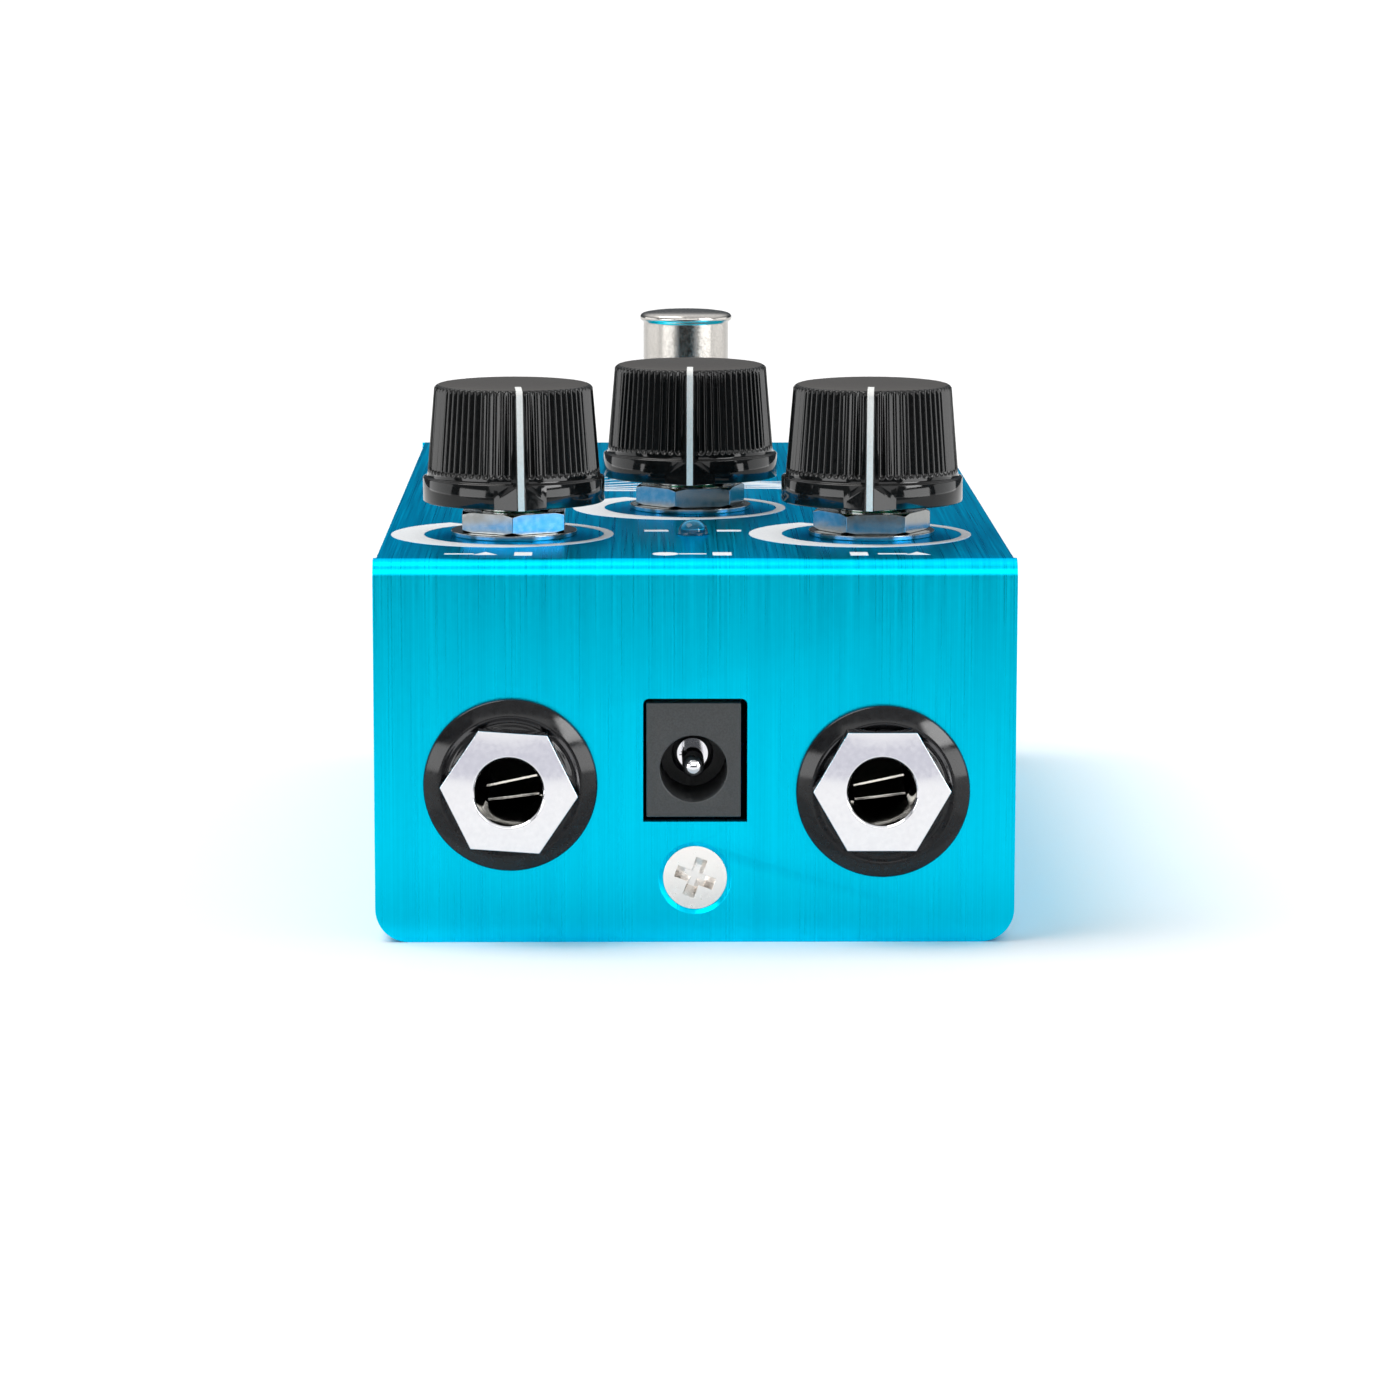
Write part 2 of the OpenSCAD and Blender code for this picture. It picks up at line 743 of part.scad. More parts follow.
module board_electrolytics() {
    color(black)
    for (x = [-20, -12, 12, 20])
        translate([x, middle_pot_y + 5.5, board_top_z]) difference() {
            cylinder(d = 5, h = 7.5);
            translate([0, 0, 6]) ring(6, 4.6, 0.5);
            translate([0, 0, 8.2]) cube([3.4, 0.3, 2], center = true);
            translate([0, 0, 8.2]) cube([0.3, 3.4, 2], center = true);
        }
}

module board_film_caps() {
    color([0.65, 0.12, 0.1])
    for (x = [-24, -9.5, 9.5, 24])
        translate([x - 1.3, outer_pot_y + 10.5, board_top_z]) cube([2.6, 7.2, 6.5]);
}

module board_resistors() {
    lie = 1.3;
    color([0.35, 0.6, 0.75])
    for (k = [-2 : 2])
        translate([k * 10, board_front_y - 2, board_top_z]) {
            translate([-3.1, 0, lie]) rotate([0, 90, 0]) cylinder(d = 2.3, h = 6.2);
            translate([-3.8, 0, lie]) rotate([0, 90, 0]) cylinder(d = 0.6, h = 7.6);
            for (side = [-1, 1])
                translate([side * 3.8, 0, 0]) cylinder(d = 0.6, h = lie);
        }
}

module switch_board() {
    w = foot_housing_w;
    color(green)
    difference() {
        translate([-w / 2, foot_y - w / 2, switch_board_z]) cube([w, w, board_t]);
        foot_lug_places() translate([0, 0, switch_board_z])
            cube([lug_w + 0.3, lug_t + 0.3, 4 * board_t], center = true);
    }
}

// A flat cable that leaves the underside of the main board, bends and lands on the switch board
module switch_ribbon() {
    outer = ribbon_bend + ribbon_t;
    bend_y = ribbon_y + outer;
    bend_z = ribbon_z + outer;
    color([0.75, 0.76, 0.78])
    along_x(ribbon_w) {
        translate([ribbon_y, bend_z]) square([ribbon_t, board_z - bend_z]);
        translate([bend_y, ribbon_z]) square([ribbon_end_y - bend_y, ribbon_t]);
        translate([bend_y, bend_z]) intersection() {
            difference() {
                circle(outer);
                circle(ribbon_bend);
            }
            translate([-outer, -outer]) square(outer);
        }
    }
}

// ---- Rotary controls ----

module pot_can(i) {
    color(zinc)
    at_pot(i) {
        difference() {
            translate([-can_w / 2, -can_front, can_z]) cube([can_w, can_front + can_back, can_h]);
            translate([0, 0, can_z - cut]) cylinder(d = can_cavity_d, h = can_h - can_roof + cut);
            translate([0, 0, seat_z - 2 * cut]) cylinder(d = spigot_d + 2 * press_gap, h = 3 * cut);
        }
        for (side = [-1, 1])
            translate([side * (can_w - leg_t) / 2 - leg_t / 2, -leg_w / 2, board_z - pin_below])
                cube([leg_t, leg_w, can_z - board_z + pin_below + 0.5]);
    }
}

module pot_wafers() {
    w = can_w - 2 * leg_t - 0.1;
    color([0.45, 0.3, 0.16])
    at_all_pots() translate([-w / 2, -can_front, wafer_z])
        cube([w, can_front + wafer_back, wafer_t]);
}

module pot_bushings() {
    color(zinc)
    at_all_pots() difference() {
        union() {
            translate([0, 0, seat_z]) cylinder(d = pot_thread_d, h = pot_bushing_h);
            translate([0, 0, seat_z - can_roof]) cylinder(d = spigot_d, h = can_roof + cut);
        }
        translate([0, 0, can_z])
            cylinder(d = pot_journal_d + 2 * running_gap, h = can_h + pot_bushing_h + cut);
    }
}

module pot_pins() {
    post_z = board_z - pin_below;
    color(chrome)
    at_all_pots() for (k = [-1, 0, 1])
        translate([k * pot_pin_pitch - pin_w / 2, pot_pin_y - pin_w / 2, post_z])
            cube([pin_w, pin_w, wafer_z - post_z]);
}

module pot_nuts() {
    color(zinc)
    for (i = [0 : 2])
        at_pot(i) translate([0, 0, case_h + pot_washer_t]) rotate([0, 0, pot_nut_turn[i]])
            nut(pot_nut_af, pot_thread_d + 2 * thread_gap, pot_nut_t);
}

module pot_washers() {
    color(zinc)
    at_all_pots() translate([0, 0, case_h]) ring(pot_washer_d, pot_washer_hole_d, pot_washer_t);
}

module pot_rotor(i) {
    color("ivory")
    at_pot(i) translate([0, 0, rotor_z])
        ring(rotor_d, pot_journal_d + 2 * press_gap, rotor_t);
}

module pot_shaft(i) {
    color(chrome)
    at_pot(i) {
        translate([0, 0, rotor_z]) cylinder(d = pot_journal_d, h = shoulder_z - rotor_z);
        translate([0, 0, shoulder_z]) cylinder(d = pot_shaft_d, h = knob_z + shaft_top - shoulder_z);
    }
}

// ---- Knobs, drawn standing on their underside with the pointer to -Y ----

// Side outline (distance from the axis, height) of the pointer rib, or of a strip along its edge
module rib_outline(inset) {
    polygon([
        [knob_low_d / 2 - 2, 0], [rib_foot_r - inset, 0],
        [rib_top_r - inset, knob_rim_h - 0.4 - inset], [rib_top_r - 2 - inset, knob_rim_h - 0.4]
    ]);
}

// An outline (distance from the axis, height) made into a rib over -Y
module rib(width) {
    rotate([0, 0, -90]) along_y(width) children();
}

// The white line: down the rib's outer edge and a little way over the knob's top
module pointer_line() {
    reach = rib_top_r - 0.3;
    rib(line_w) difference() {
        rib_outline(0);
        rib_outline(line_depth);
        translate([0, -cut]) square([rib_top_r - 1, knob_rim_h + 2 * cut]);
    }
    intersection() {
        knob_blank();
        translate([-line_w / 2, -reach, knob_rim_h - 0.45])
            cube([line_w, line_top, knob_dome + 0.5]);
    }
}

module knob_blank() {
    rim_r = knob_top_d / 2;
    hole_r = insert_d / 2 + press_gap;
    rotate_extrude()
        polygon([
            [0, insert_top], [hole_r, insert_top], [hole_r, knob_recess_h],
            [knob_recess_d / 2, knob_recess_h], [knob_recess_d / 2, 0], [skirt_d / 2 - 0.25, 0],
            [skirt_d / 2, 0.3], [skirt_d / 2, skirt_h - 0.35], [skirt_d / 2 - 0.35, skirt_h],
            [knob_low_d / 2, skirt_h], [rim_r, knob_rim_h - 0.35], [rim_r - 0.35, knob_rim_h],
            [rim_r - 2.5, knob_rim_h + knob_dome * 0.75], [0, knob_h]
        ]);
}

module knob(i) {
    color(black)
    at_knob(i) difference() {
        union() {
            knob_blank();
            rib(rib_w) rib_outline(0);
        }
        pointer_line();
        translate([0, 0, set_screw_z])
            rod_y(set_screw_d + 0.4, insert_d / 2 - 0.5, skirt_d / 2 + cut);
    }
}

module knob_line(i) {
    color("white") at_knob(i) pointer_line();
}

module knob_insert(i) {
    color(brass)
    at_knob(i) difference() {
        translate([0, 0, insert_z]) ring(insert_d, pot_shaft_d + 2 * 0.025, insert_top - insert_z);
        translate([0, 0, set_screw_z]) rod_y(set_screw_d + 2 * press_gap, 0, insert_d);
    }
}

module knob_screw(i) {
    start_y = pot_shaft_d / 2 + 0.05;
    color(charcoal)
    at_knob(i) translate([0, 0, set_screw_z]) difference() {
        rod_y(set_screw_d, start_y, start_y + set_screw_l);
        translate([0, start_y + set_screw_l, 0]) cube([0.5, 1.6, set_screw_d + cut], center = true);
    }
}

// ---- Stomp switch ----

module at_foot() {
    translate([0, foot_y, 0]) children();
}

module foot_lug_places() {
    at_foot() for (column = [-1 : 1])
        for (row = [-1 : 1])
            translate([column * lug_pitch.x, row * lug_pitch.y, 0]) children();
}

module foot_button() {
    rim_r = button_d / 2 + button_rim;
    color(chrome)
    at_foot() {
        rotate_extrude() polygon([
            [button_cavity_d / 2, button_z], [button_d / 2, button_z],
            [button_d / 2, rim_top_z - rim_t], [rim_r - 0.15, rim_top_z - rim_t],
            [rim_r, rim_top_z - rim_t + 0.2], [rim_r, rim_top_z - 0.25], [rim_r - 0.35, rim_top_z],
            [rim_r - 1.6, rim_top_z + button_dome * 0.6], [0, rim_top_z + button_dome],
            [0, button_cavity_top_z], [button_cavity_d / 2, button_cavity_top_z]
        ]);
        translate([0, 0, slider_top_z - stem_grip])
            cylinder(d = stem_d, h = button_cavity_top_z - slider_top_z + stem_grip + cut);
    }
}

module foot_slider() {
    color("ivory")
    at_foot() difference() {
        translate([-slider_w / 2, -slider_w / 2, slider_top_z - slider_t])
            cube([slider_w, slider_w, slider_t]);
        translate([0, 0, slider_top_z - stem_grip]) cylinder(d = stem_d + 2 * press_gap, h = slider_t);
    }
}

// A round wire wound into a helix round the stem, as one swept tube
module foot_spring() {
    wire_r = wire_d / 2;
    low = foot_floor_z + wire_r + 0.05;
    high = button_cavity_top_z - wire_r - 0.05;
    steps = 18 * foot_spring_turns;
    sides = 8;
    points = [
        for (step = [0 : steps])
            for (side = [0 : sides - 1])
                let (
                    turn = 360 * foot_spring_turns * step / steps,
                    round = 360 * side / sides,
                    r = spring_r + wire_r * cos(round),
                    z = low + (high - low) * step / steps + wire_r * sin(round)
                )
                [r * cos(turn), r * sin(turn), z]
    ];
    skin = [
        for (step = [0 : steps - 1])
            for (side = [0 : sides - 1])
                let (
                    a = step * sides + side,
                    b = step * sides + (side + 1) % sides
                )
                [a, a + sides, b + sides, b]
    ];
    first_cap = [[for (side = [0 : sides - 1]) side]];
    last_cap = [[for (side = [sides - 1 : -1 : 0]) steps * sides + side]];
    color(chrome) at_foot() polyhedron(points, concat(first_cap, skin, last_cap));
}

module foot_bushing() {
    color(zinc)
    at_foot() difference() {
        union() {
            translate([0, 0, frame_top_z]) cylinder(d = foot_thread_d, h = foot_bushing_l);
            translate([0, 0, housing_top_z]) cylinder(d = foot_spigot_d, h = foot_frame_t + cut / 2);
        }
        translate([0, 0, foot_floor_z]) cylinder(d = foot_bore_d, h = foot_bushing_l + cut);
        translate([0, 0, housing_top_z - cut]) cylinder(d = stem_hole_d, h = 4 * cut);
    }
}

module foot_nut() {
    color(zinc)
    at_foot() translate([0, 0, case_h]) nut(foot_nut_af, foot_thread_d + 2 * thread_gap, foot_nut_t);
}

module foot_lock_washer() {
    color(zinc)
    at_foot() translate([0, 0, frame_top_z]) difference() {
        ring(foot_thread_d + 3.6, foot_thread_d + 0.3, lock_washer_t);
        for (turn = [0 : 30 : 330])
            rotate([0, 0, turn]) translate([foot_thread_d / 2 + 1.8, 0, lock_washer_t / 2])
                cube([1.2, 0.9, 2 * lock_washer_t], center = true);
    }
}

module foot_frame() {
    w = foot_housing_w + 2 * foot_frame_t;
    color(zinc)
    at_foot() difference() {
        union() {
            translate([-w / 2, -foot_housing_w / 2, housing_top_z])
                cube([w, foot_housing_w, foot_frame_t]);
            for (side = [-1, 1])
                translate([side * (w - foot_frame_t) / 2 - foot_frame_t / 2,
                           -foot_housing_w / 2, frame_top_z - frame_side_h])
                    cube([foot_frame_t, foot_housing_w, frame_side_h]);
        }
        translate([0, 0, housing_top_z - cut])
            cylinder(d = foot_spigot_d + 2 * press_gap, h = foot_frame_t + 2 * cut);
    }
}

module foot_housing() {
    w = foot_housing_w;
    inner = w - 2 * housing_wall;
    color([0.1, 0.25, 0.6])
    at_foot() difference() {
        translate([-w / 2, -w / 2, housing_z]) cube([w, w, foot_housing_h]);
        translate([-inner / 2, -inner / 2, housing_z - cut])
            cube([inner, inner, foot_housing_h - housing_wall + cut]);
        translate([0, 0, housing_top_z - 2 * cut - housing_wall])
            cylinder(d = stem_d + 0.8, h = housing_wall + 4 * cut);
    }
}

module foot_plate() {
    w = foot_housing_w;
    color([0.45, 0.3, 0.16])
    difference() {
        at_foot() translate([-w / 2, -w / 2, housing_z - foot_plate_t]) cube([w, w, foot_plate_t]);
        foot_lug_places() translate([0, 0, housing_z])
            cube([lug_w + 2 * press_gap, lug_t + 2 * press_gap, 4 * foot_plate_t], center = true);
    }
}

module foot_terminals() {
    color(chrome)
    foot_lug_places() {
        translate([-lug_w / 2, -lug_t / 2, lug_tip_z])
            cube([lug_w, lug_t, housing_z - lug_tip_z + lug_head]);
        translate([-1.5, -1, housing_z]) cube([3, 2, lug_head]);
    }
}

top_cover();
base_tray();
clinch_nuts();
case_screws();
jack_body(0);  // input_jack_body
jack_body(1);  // output_jack_body
ferrule(0);  // input_ferrule
ferrule(1);  // output_ferrule
jack_flange_washers();
jack_tip_springs();
jack_sleeve_springs();
inlet_body();
inlet_pin();
inlet_spring();
led_lens();
led_leads();
main_board();
board_chips();
board_electrolytics();
board_film_caps();
board_resistors();
switch_ribbon();
switch_board();
pot_can(0);  // pot_can_left
pot_can(1);  // pot_can_middle
pot_can(2);  // pot_can_right
pot_wafers();
pot_bushings();
pot_pins();
pot_nuts();
pot_washers();
pot_rotor(0);  // pot_rotor_left
pot_rotor(1);  // pot_rotor_middle
pot_rotor(2);  // pot_rotor_right
pot_shaft(0);  // pot_shaft_left
pot_shaft(1);  // pot_shaft_middle
pot_shaft(2);  // pot_shaft_right
knob(0);  // knob_left
knob(1);  // knob_middle
knob(2);  // knob_right
knob_insert(0);  // knob_insert_left
knob_insert(1);  // knob_insert_middle
knob_insert(2);  // knob_insert_right
knob_line(0);  // knob_line_left
knob_line(1);  // knob_line_middle
knob_line(2);  // knob_line_right
knob_screw(0);  // knob_screw_left
knob_screw(1);  // knob_screw_middle
knob_screw(2);  // knob_screw_right
foot_button();
foot_slider();
foot_spring();
foot_bushing();
foot_nut();
foot_lock_washer();
foot_frame();
foot_housing();
foot_plate();
foot_terminals();
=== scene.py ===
# %% [markdown]
# # A small guitar effects pedal in Blender
# The pedal is a folded aluminium case with three black knobs, a clear lamp and a stomp button on top,
# and two jacks, a power inlet and a screw in its rear end. Its CAD model is already exact, so this
# lesson loads it as a fixed frame and gives it its looks: finishes made of shader nodes, and finer
# pieces where the CAD solid is too plain. Lengths are in millimetres times MM, because Blender
# works in metres.

# %% Load the frame and keep its box
import json
import math

import bmesh
import bpy
from mathutils import Matrix, Vector

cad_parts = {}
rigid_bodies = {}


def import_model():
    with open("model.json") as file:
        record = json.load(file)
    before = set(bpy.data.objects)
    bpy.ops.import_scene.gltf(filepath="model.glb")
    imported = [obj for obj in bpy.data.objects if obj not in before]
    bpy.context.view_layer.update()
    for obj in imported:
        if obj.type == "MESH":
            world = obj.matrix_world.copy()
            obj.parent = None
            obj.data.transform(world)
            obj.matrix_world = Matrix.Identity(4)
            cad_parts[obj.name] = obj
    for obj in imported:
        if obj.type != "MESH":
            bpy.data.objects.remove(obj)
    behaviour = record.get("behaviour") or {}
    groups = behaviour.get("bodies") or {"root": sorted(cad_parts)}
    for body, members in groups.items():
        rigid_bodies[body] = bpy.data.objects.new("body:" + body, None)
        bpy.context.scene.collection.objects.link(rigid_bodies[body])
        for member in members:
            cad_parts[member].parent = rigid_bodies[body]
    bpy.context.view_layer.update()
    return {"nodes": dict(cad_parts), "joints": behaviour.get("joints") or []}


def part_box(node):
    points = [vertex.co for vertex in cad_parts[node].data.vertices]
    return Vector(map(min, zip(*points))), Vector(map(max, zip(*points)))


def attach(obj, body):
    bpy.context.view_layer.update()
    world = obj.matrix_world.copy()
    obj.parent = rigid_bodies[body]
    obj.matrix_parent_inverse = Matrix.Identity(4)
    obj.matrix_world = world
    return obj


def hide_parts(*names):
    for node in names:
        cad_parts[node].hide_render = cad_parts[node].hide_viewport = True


for leftover in list(bpy.data.objects):
    bpy.data.objects.remove(leftover)
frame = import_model()
MM = 0.001

# %% [markdown]
# ## Where things are
# Nothing is placed by eye. Each axis that a new piece is turned about comes from the frame: a
# control's from its joint, and a jack's or the stomp switch's from the middle of a CAD node's box.
# The knobs are drawn with the pointer to the rear at mid travel, so half the sum of a joint's limits
# gives the turn that each knob rests at.

# %% Axes and turns taken from the frame
SIDES = ("left", "middle", "right")


def middle_of(node):
    low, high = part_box(node)
    return (low + high) / 2


def top_of(node):
    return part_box(node)[1].z


joints = {joint["name"]: joint for joint in frame["joints"]}
pot_axis = {side: Vector(joints["turn_" + side]["pos_m"]) for side in SIDES}
knob_turn = {side: -sum(joints["turn_" + side]["range_deg"]) / 2 for side in SIDES}
panel_z = top_of("top_cover")
knob_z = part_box("knob_left")[0].z
foot_axis = middle_of("foot_button")
print("panel height in mm:", round(panel_z / MM, 2), "knob turns:", knob_turn)

# %% [markdown]
# ## The camera
# A product picture of something this small is taken from about half a metre with a long lens, so
# that its far edges hardly shrink. The camera looks down by 8.8 degrees. It is aimed with a
# rotation matrix whose columns are its right, its up and its backward direction, which is exact and
# needs no target object. Depth of field stays off.

# %% Camera
CAMERA_PLACE = Vector((-0.00562, -0.51153, 0.09393))
YAW = math.radians(0.763)
PITCH = math.radians(8.801)
ROLL = math.radians(0.074)
LENS = 125.1

forward = Vector((math.sin(YAW) * math.cos(PITCH), math.cos(YAW) * math.cos(PITCH), -math.sin(PITCH)))
right = Vector((math.cos(YAW), -math.sin(YAW), 0))
up = right.cross(forward)
rolled_right = right * math.cos(ROLL) + up * math.sin(ROLL)
rolled_up = up * math.cos(ROLL) - right * math.sin(ROLL)
aim = Matrix((rolled_right, rolled_up, -forward)).transposed()

camera_data = bpy.data.cameras.new("camera")
camera_data.lens = LENS
camera_data.sensor_width = 36
camera_data.clip_start = 0.01
camera_data.clip_end = 60
camera = bpy.data.objects.new("camera", camera_data)
camera.matrix_world = Matrix.Translation(CAMERA_PLACE) @ aim.to_4x4()
bpy.context.scene.collection.objects.link(camera)
bpy.context.scene.camera = camera
bpy.context.scene.view_settings.view_transform = "Standard"
print("camera looks down by", round(math.degrees(PITCH), 2), "degrees")

# %% [markdown]
# ## The studio
# The pedal stands on a wide pale sweep in a plain room. A polished or brushed metal shows little
# colour of its own: it shows what it faces, so the room matters as much as the lamps. The room is
# bright overhead and behind, and dim in front and low down. The top plate is seen at a shallow
# angle, mirrors the low part behind and turns deep blue, and the knobs mirror the dim front. The
# main light is a broad soft sun high on the left. A sun lights the far floor as strongly as the
# near one, and leaves a soft shadow on the right.

# %% Floor
FLOOR_SIZE = 14


def flat_rectangle(name, material, low, high, height=0.0):
    """A flat rectangle between two corners, which belongs to the stage and not to the pedal."""
    shape = bmesh.new()
    bmesh.ops.create_grid(shape, x_segments=1, y_segments=1, size=0.5)
    bmesh.ops.scale(shape, verts=shape.verts, vec=(high[0] - low[0], high[1] - low[1], 1))
    middle = ((high[0] + low[0]) / 2, (high[1] + low[1]) / 2, height)
    bmesh.ops.translate(shape, verts=shape.verts, vec=middle)
    mesh = bpy.data.meshes.new(name)
    shape.to_mesh(mesh)
    shape.free()
    mesh.materials.append(material)
    thing = bpy.data.objects.new(name, mesh)
    bpy.context.scene.collection.objects.link(thing)
    return thing


def matt(name, dark, light):
    """A rough surface whose tone wanders a little between two near colours."""
    material = bpy.data.materials.new(name)
    material.use_nodes = True
    nodes = material.node_tree.nodes
    links = material.node_tree.links
    shader = nodes["Principled BSDF"]
    shader.inputs["Roughness"].default_value = 0.75
    shader.inputs["Specular IOR Level"].default_value = 0.2
    place = nodes.new("ShaderNodeTexCoord")
    grain = nodes.new("ShaderNodeTexNoise")
    grain.inputs["Scale"].default_value = 30
    tint = nodes.new("ShaderNodeValToRGB")
    tint.color_ramp.elements[0].color = (*dark, 1)
    tint.color_ramp.elements[1].color = (*light, 1)
    links.new(place.outputs["Object"], grain.inputs["Vector"])
    links.new(grain.outputs["Fac"], tint.inputs["Fac"])
    links.new(tint.outputs["Color"], shader.inputs["Base Color"])
    return material


pale_sweep = matt("pale_sweep", (0.93, 0.935, 0.94), (0.95, 0.95, 0.95))
flat_rectangle("floor", pale_sweep, (-FLOOR_SIZE, -FLOOR_SIZE), (FLOOR_SIZE, FLOOR_SIZE))

# %% [markdown]
# Cards are laid round bright metal so that it mirrors something with an edge. Their tones are painted
# shade that only reflections show, while the floor that the camera sees stays evenly pale. The upper
# half of each chrome ferrule mirrors a small grey card, painted shade of the floor further out, and the
# front of the knobs a wide dark one further out, painted shade of the far floor. A slightly dimmed strip
# at the foot of the case is a painted contact shadow, which keeps the end face from getting too bright
# low down. The cards are hidden from the camera, from shadows and from soft light, so that only mirrored
# rays meet them. They aren't part of the studio that the camera sees.

# %% Cards of painted shade that only show in reflections
CARD_HEIGHT = 0.0004  # just above the floor, in metres


def only_mirrored(thing):
    thing.visible_camera = False
    thing.visible_diffuse = False
    thing.visible_shadow = False
    thing.visible_transmission = False


# Painted contact shadow: a dimmed strip at the foot of the case, seen only in reflections
contact_shade_card = matt("contact_shade_card", (0.62, 0.62, 0.63), (0.66, 0.66, 0.67))
# Painted shade of the floor further out, mirrored in the upper half of each ferrule
floor_shade_grey = matt("floor_shade_grey", (0.60, 0.60, 0.67), (0.64, 0.64, 0.71))
# Painted shade of the far floor in front, mirrored in the front of the knobs
floor_shade_dark = matt("floor_shade_dark", (0.17, 0.17, 0.17), (0.20, 0.20, 0.20))
# Each card's name and finish, then its near left and far right corners on the floor
CARDS = [
    ("card_input", floor_shade_grey, (-0.034, -0.206), (-0.009, -0.158)),
    ("card_output", floor_shade_grey, (0.011, -0.206), (0.036, -0.158)),
    ("contact_shade_strip", contact_shade_card, (-0.05, -0.082), (0.05, -0.0605)),
    ("far_floor_shade", floor_shade_dark, (-0.6, -3.0), (0.6, -0.288)),
]
for name, finish, low, high in CARDS:
    only_mirrored(flat_rectangle(name, finish, low, high, CARD_HEIGHT))

# %% [markdown]
# One sun lights the surfaces. The soft boxes add only highlights, as lines on black plastic and
# bands on plated metal, and light nothing that scatters light. A box's power follows from how bright
# its face should look: an area lamp of brightness b and area A has a power of pi times b times A.

# %% Lamps
def soft_box(name, place, target, width, height, brightness):
    """A lamp for highlights only, whose power follows from how bright its face should look."""
    lamp = bpy.data.lights.new(name, "AREA")
    lamp.shape = "RECTANGLE"
    lamp.size = width
    lamp.size_y = height
    lamp.energy = brightness * math.pi * width * height
    holder = bpy.data.objects.new(name, lamp)
    holder.location = place
    holder.rotation_euler = (Vector(target) - Vector(place)).to_track_quat("-Z", "Y").to_euler()
    holder.visible_camera = False
    holder.visible_diffuse = False
    bpy.context.scene.collection.objects.link(holder)
    return holder


SUN_FROM = Vector((-0.42, -0.03, 0.9))
SUN_POWER = 1.75
SUN_SPREAD = 38  # degrees
SUN_COLOUR = (1.0, 0.98, 0.95)
sun = bpy.data.lights.new("soft_sun", "SUN")
sun.energy = SUN_POWER
sun.angle = math.radians(SUN_SPREAD)
sun.color = SUN_COLOUR
sun_holder = bpy.data.objects.new("soft_sun", sun)
sun_holder.rotation_euler = (-SUN_FROM).to_track_quat("-Z", "Y").to_euler()
bpy.context.scene.collection.objects.link(sun_holder)

# Each box's name, its place and the point it faces in metres, then width, height and brightness
SOFT_BOXES = [
    ("box_front", (0, -1.05, 0.62), (0, 0, 0.03), 1.3, 0.74, 1.75),
    ("box_over", (0, -0.55, 1.10), (0, 0, 0.03), 1.3, 0.78, 0.22),
    ("box_right", (0.78, -0.58, 0.62), (0, 0, 0.02), 0.40, 0.40, 12),
    ("box_low_left", (-0.50, -0.40, 0.12), (0, -0.02, 0.045), 0.4, 0.20, 5),
    ("box_low_right", (0.52, -0.36, 0.12), (0, -0.02, 0.045), 0.4, 0.20, 5.6),
    ("box_side_left", (-0.55, 0.15, 0.13), (0, 0.02, 0.06), 0.5, 0.22, 1.8),
    ("box_side_right", (0.58, 0.15, 0.13), (0, 0.02, 0.06), 0.5, 0.22, 1.8),
]
for box in SOFT_BOXES:
    soft_box(*box)

# %% [markdown]
# The room is one smooth gradient of the direction of sight. It is dim in front, dimmer still low
# down behind, and bright overhead and behind.

# %% Room
ROOM_LIGHT = (0.97, 0.97, 0.98, 1)
ROOM_LOW_BEHIND = (0.065, 0.075, 0.085, 1)
ROOM_FRONT = (0.10, 0.10, 0.105, 1)
ROOM_POWER = 1.2

world = bpy.data.worlds.new("room")
bpy.context.scene.world = world
world.use_nodes = True
room_nodes = world.node_tree.nodes
room_links = world.node_tree.links
backdrop = room_nodes["Background"]
backdrop.inputs["Strength"].default_value = ROOM_POWER
direction = room_nodes.new("ShaderNodeTexCoord")
split = room_nodes.new("ShaderNodeSeparateXYZ")
behind = room_nodes.new("ShaderNodeMapRange")
behind.interpolation_type = "SMOOTHSTEP"
behind.inputs["From Min"].default_value = -0.45
behind.inputs["From Max"].default_value = 0.10
behind.inputs["To Min"].default_value = 0.35
overhead = room_nodes.new("ShaderNodeMapRange")
overhead.interpolation_type = "SMOOTHSTEP"
overhead.inputs["From Min"].default_value = 0.22
overhead.inputs["From Max"].default_value = 0.70
both_ways = room_nodes.new("ShaderNodeMath")
both_ways.operation = "MULTIPLY"
low_part = room_nodes.new("ShaderNodeMix")
low_part.data_type = "RGBA"
low_part.inputs["A"].default_value = ROOM_FRONT
low_part.inputs["B"].default_value = ROOM_LOW_BEHIND
whole_room = room_nodes.new("ShaderNodeMix")
whole_room.data_type = "RGBA"
whole_room.inputs["B"].default_value = ROOM_LIGHT
room_links.new(direction.outputs["Generated"], split.inputs["Vector"])
room_links.new(split.outputs["Y"], behind.inputs["Value"])
room_links.new(split.outputs["Z"], overhead.inputs["Value"])
room_links.new(behind.outputs["Result"], both_ways.inputs[0])
room_links.new(overhead.outputs["Result"], both_ways.inputs[1])
room_links.new(behind.outputs["Result"], low_part.inputs["Factor"])
room_links.new(low_part.outputs["Result"], whole_room.inputs["A"])
room_links.new(both_ways.outputs["Value"], whole_room.inputs["Factor"])
room_links.new(whole_room.outputs["Result"], backdrop.inputs["Color"])
print("lamps:", len(bpy.data.lights))

# %% [markdown]
# ## How a finish is made
# Every finish here starts with the same idea. A noise texture is read in the object's own
# coordinates, stretched to the grain's direction, and drives three things at once: a colour ramp
# between two near shades, a small range of roughness, and a bump. Smooth plastic gets a fine even
# noise and brushed metal a noise stretched a hundred times. What is the same all over, such as
# metalness or a coat, is set on the shader itself.

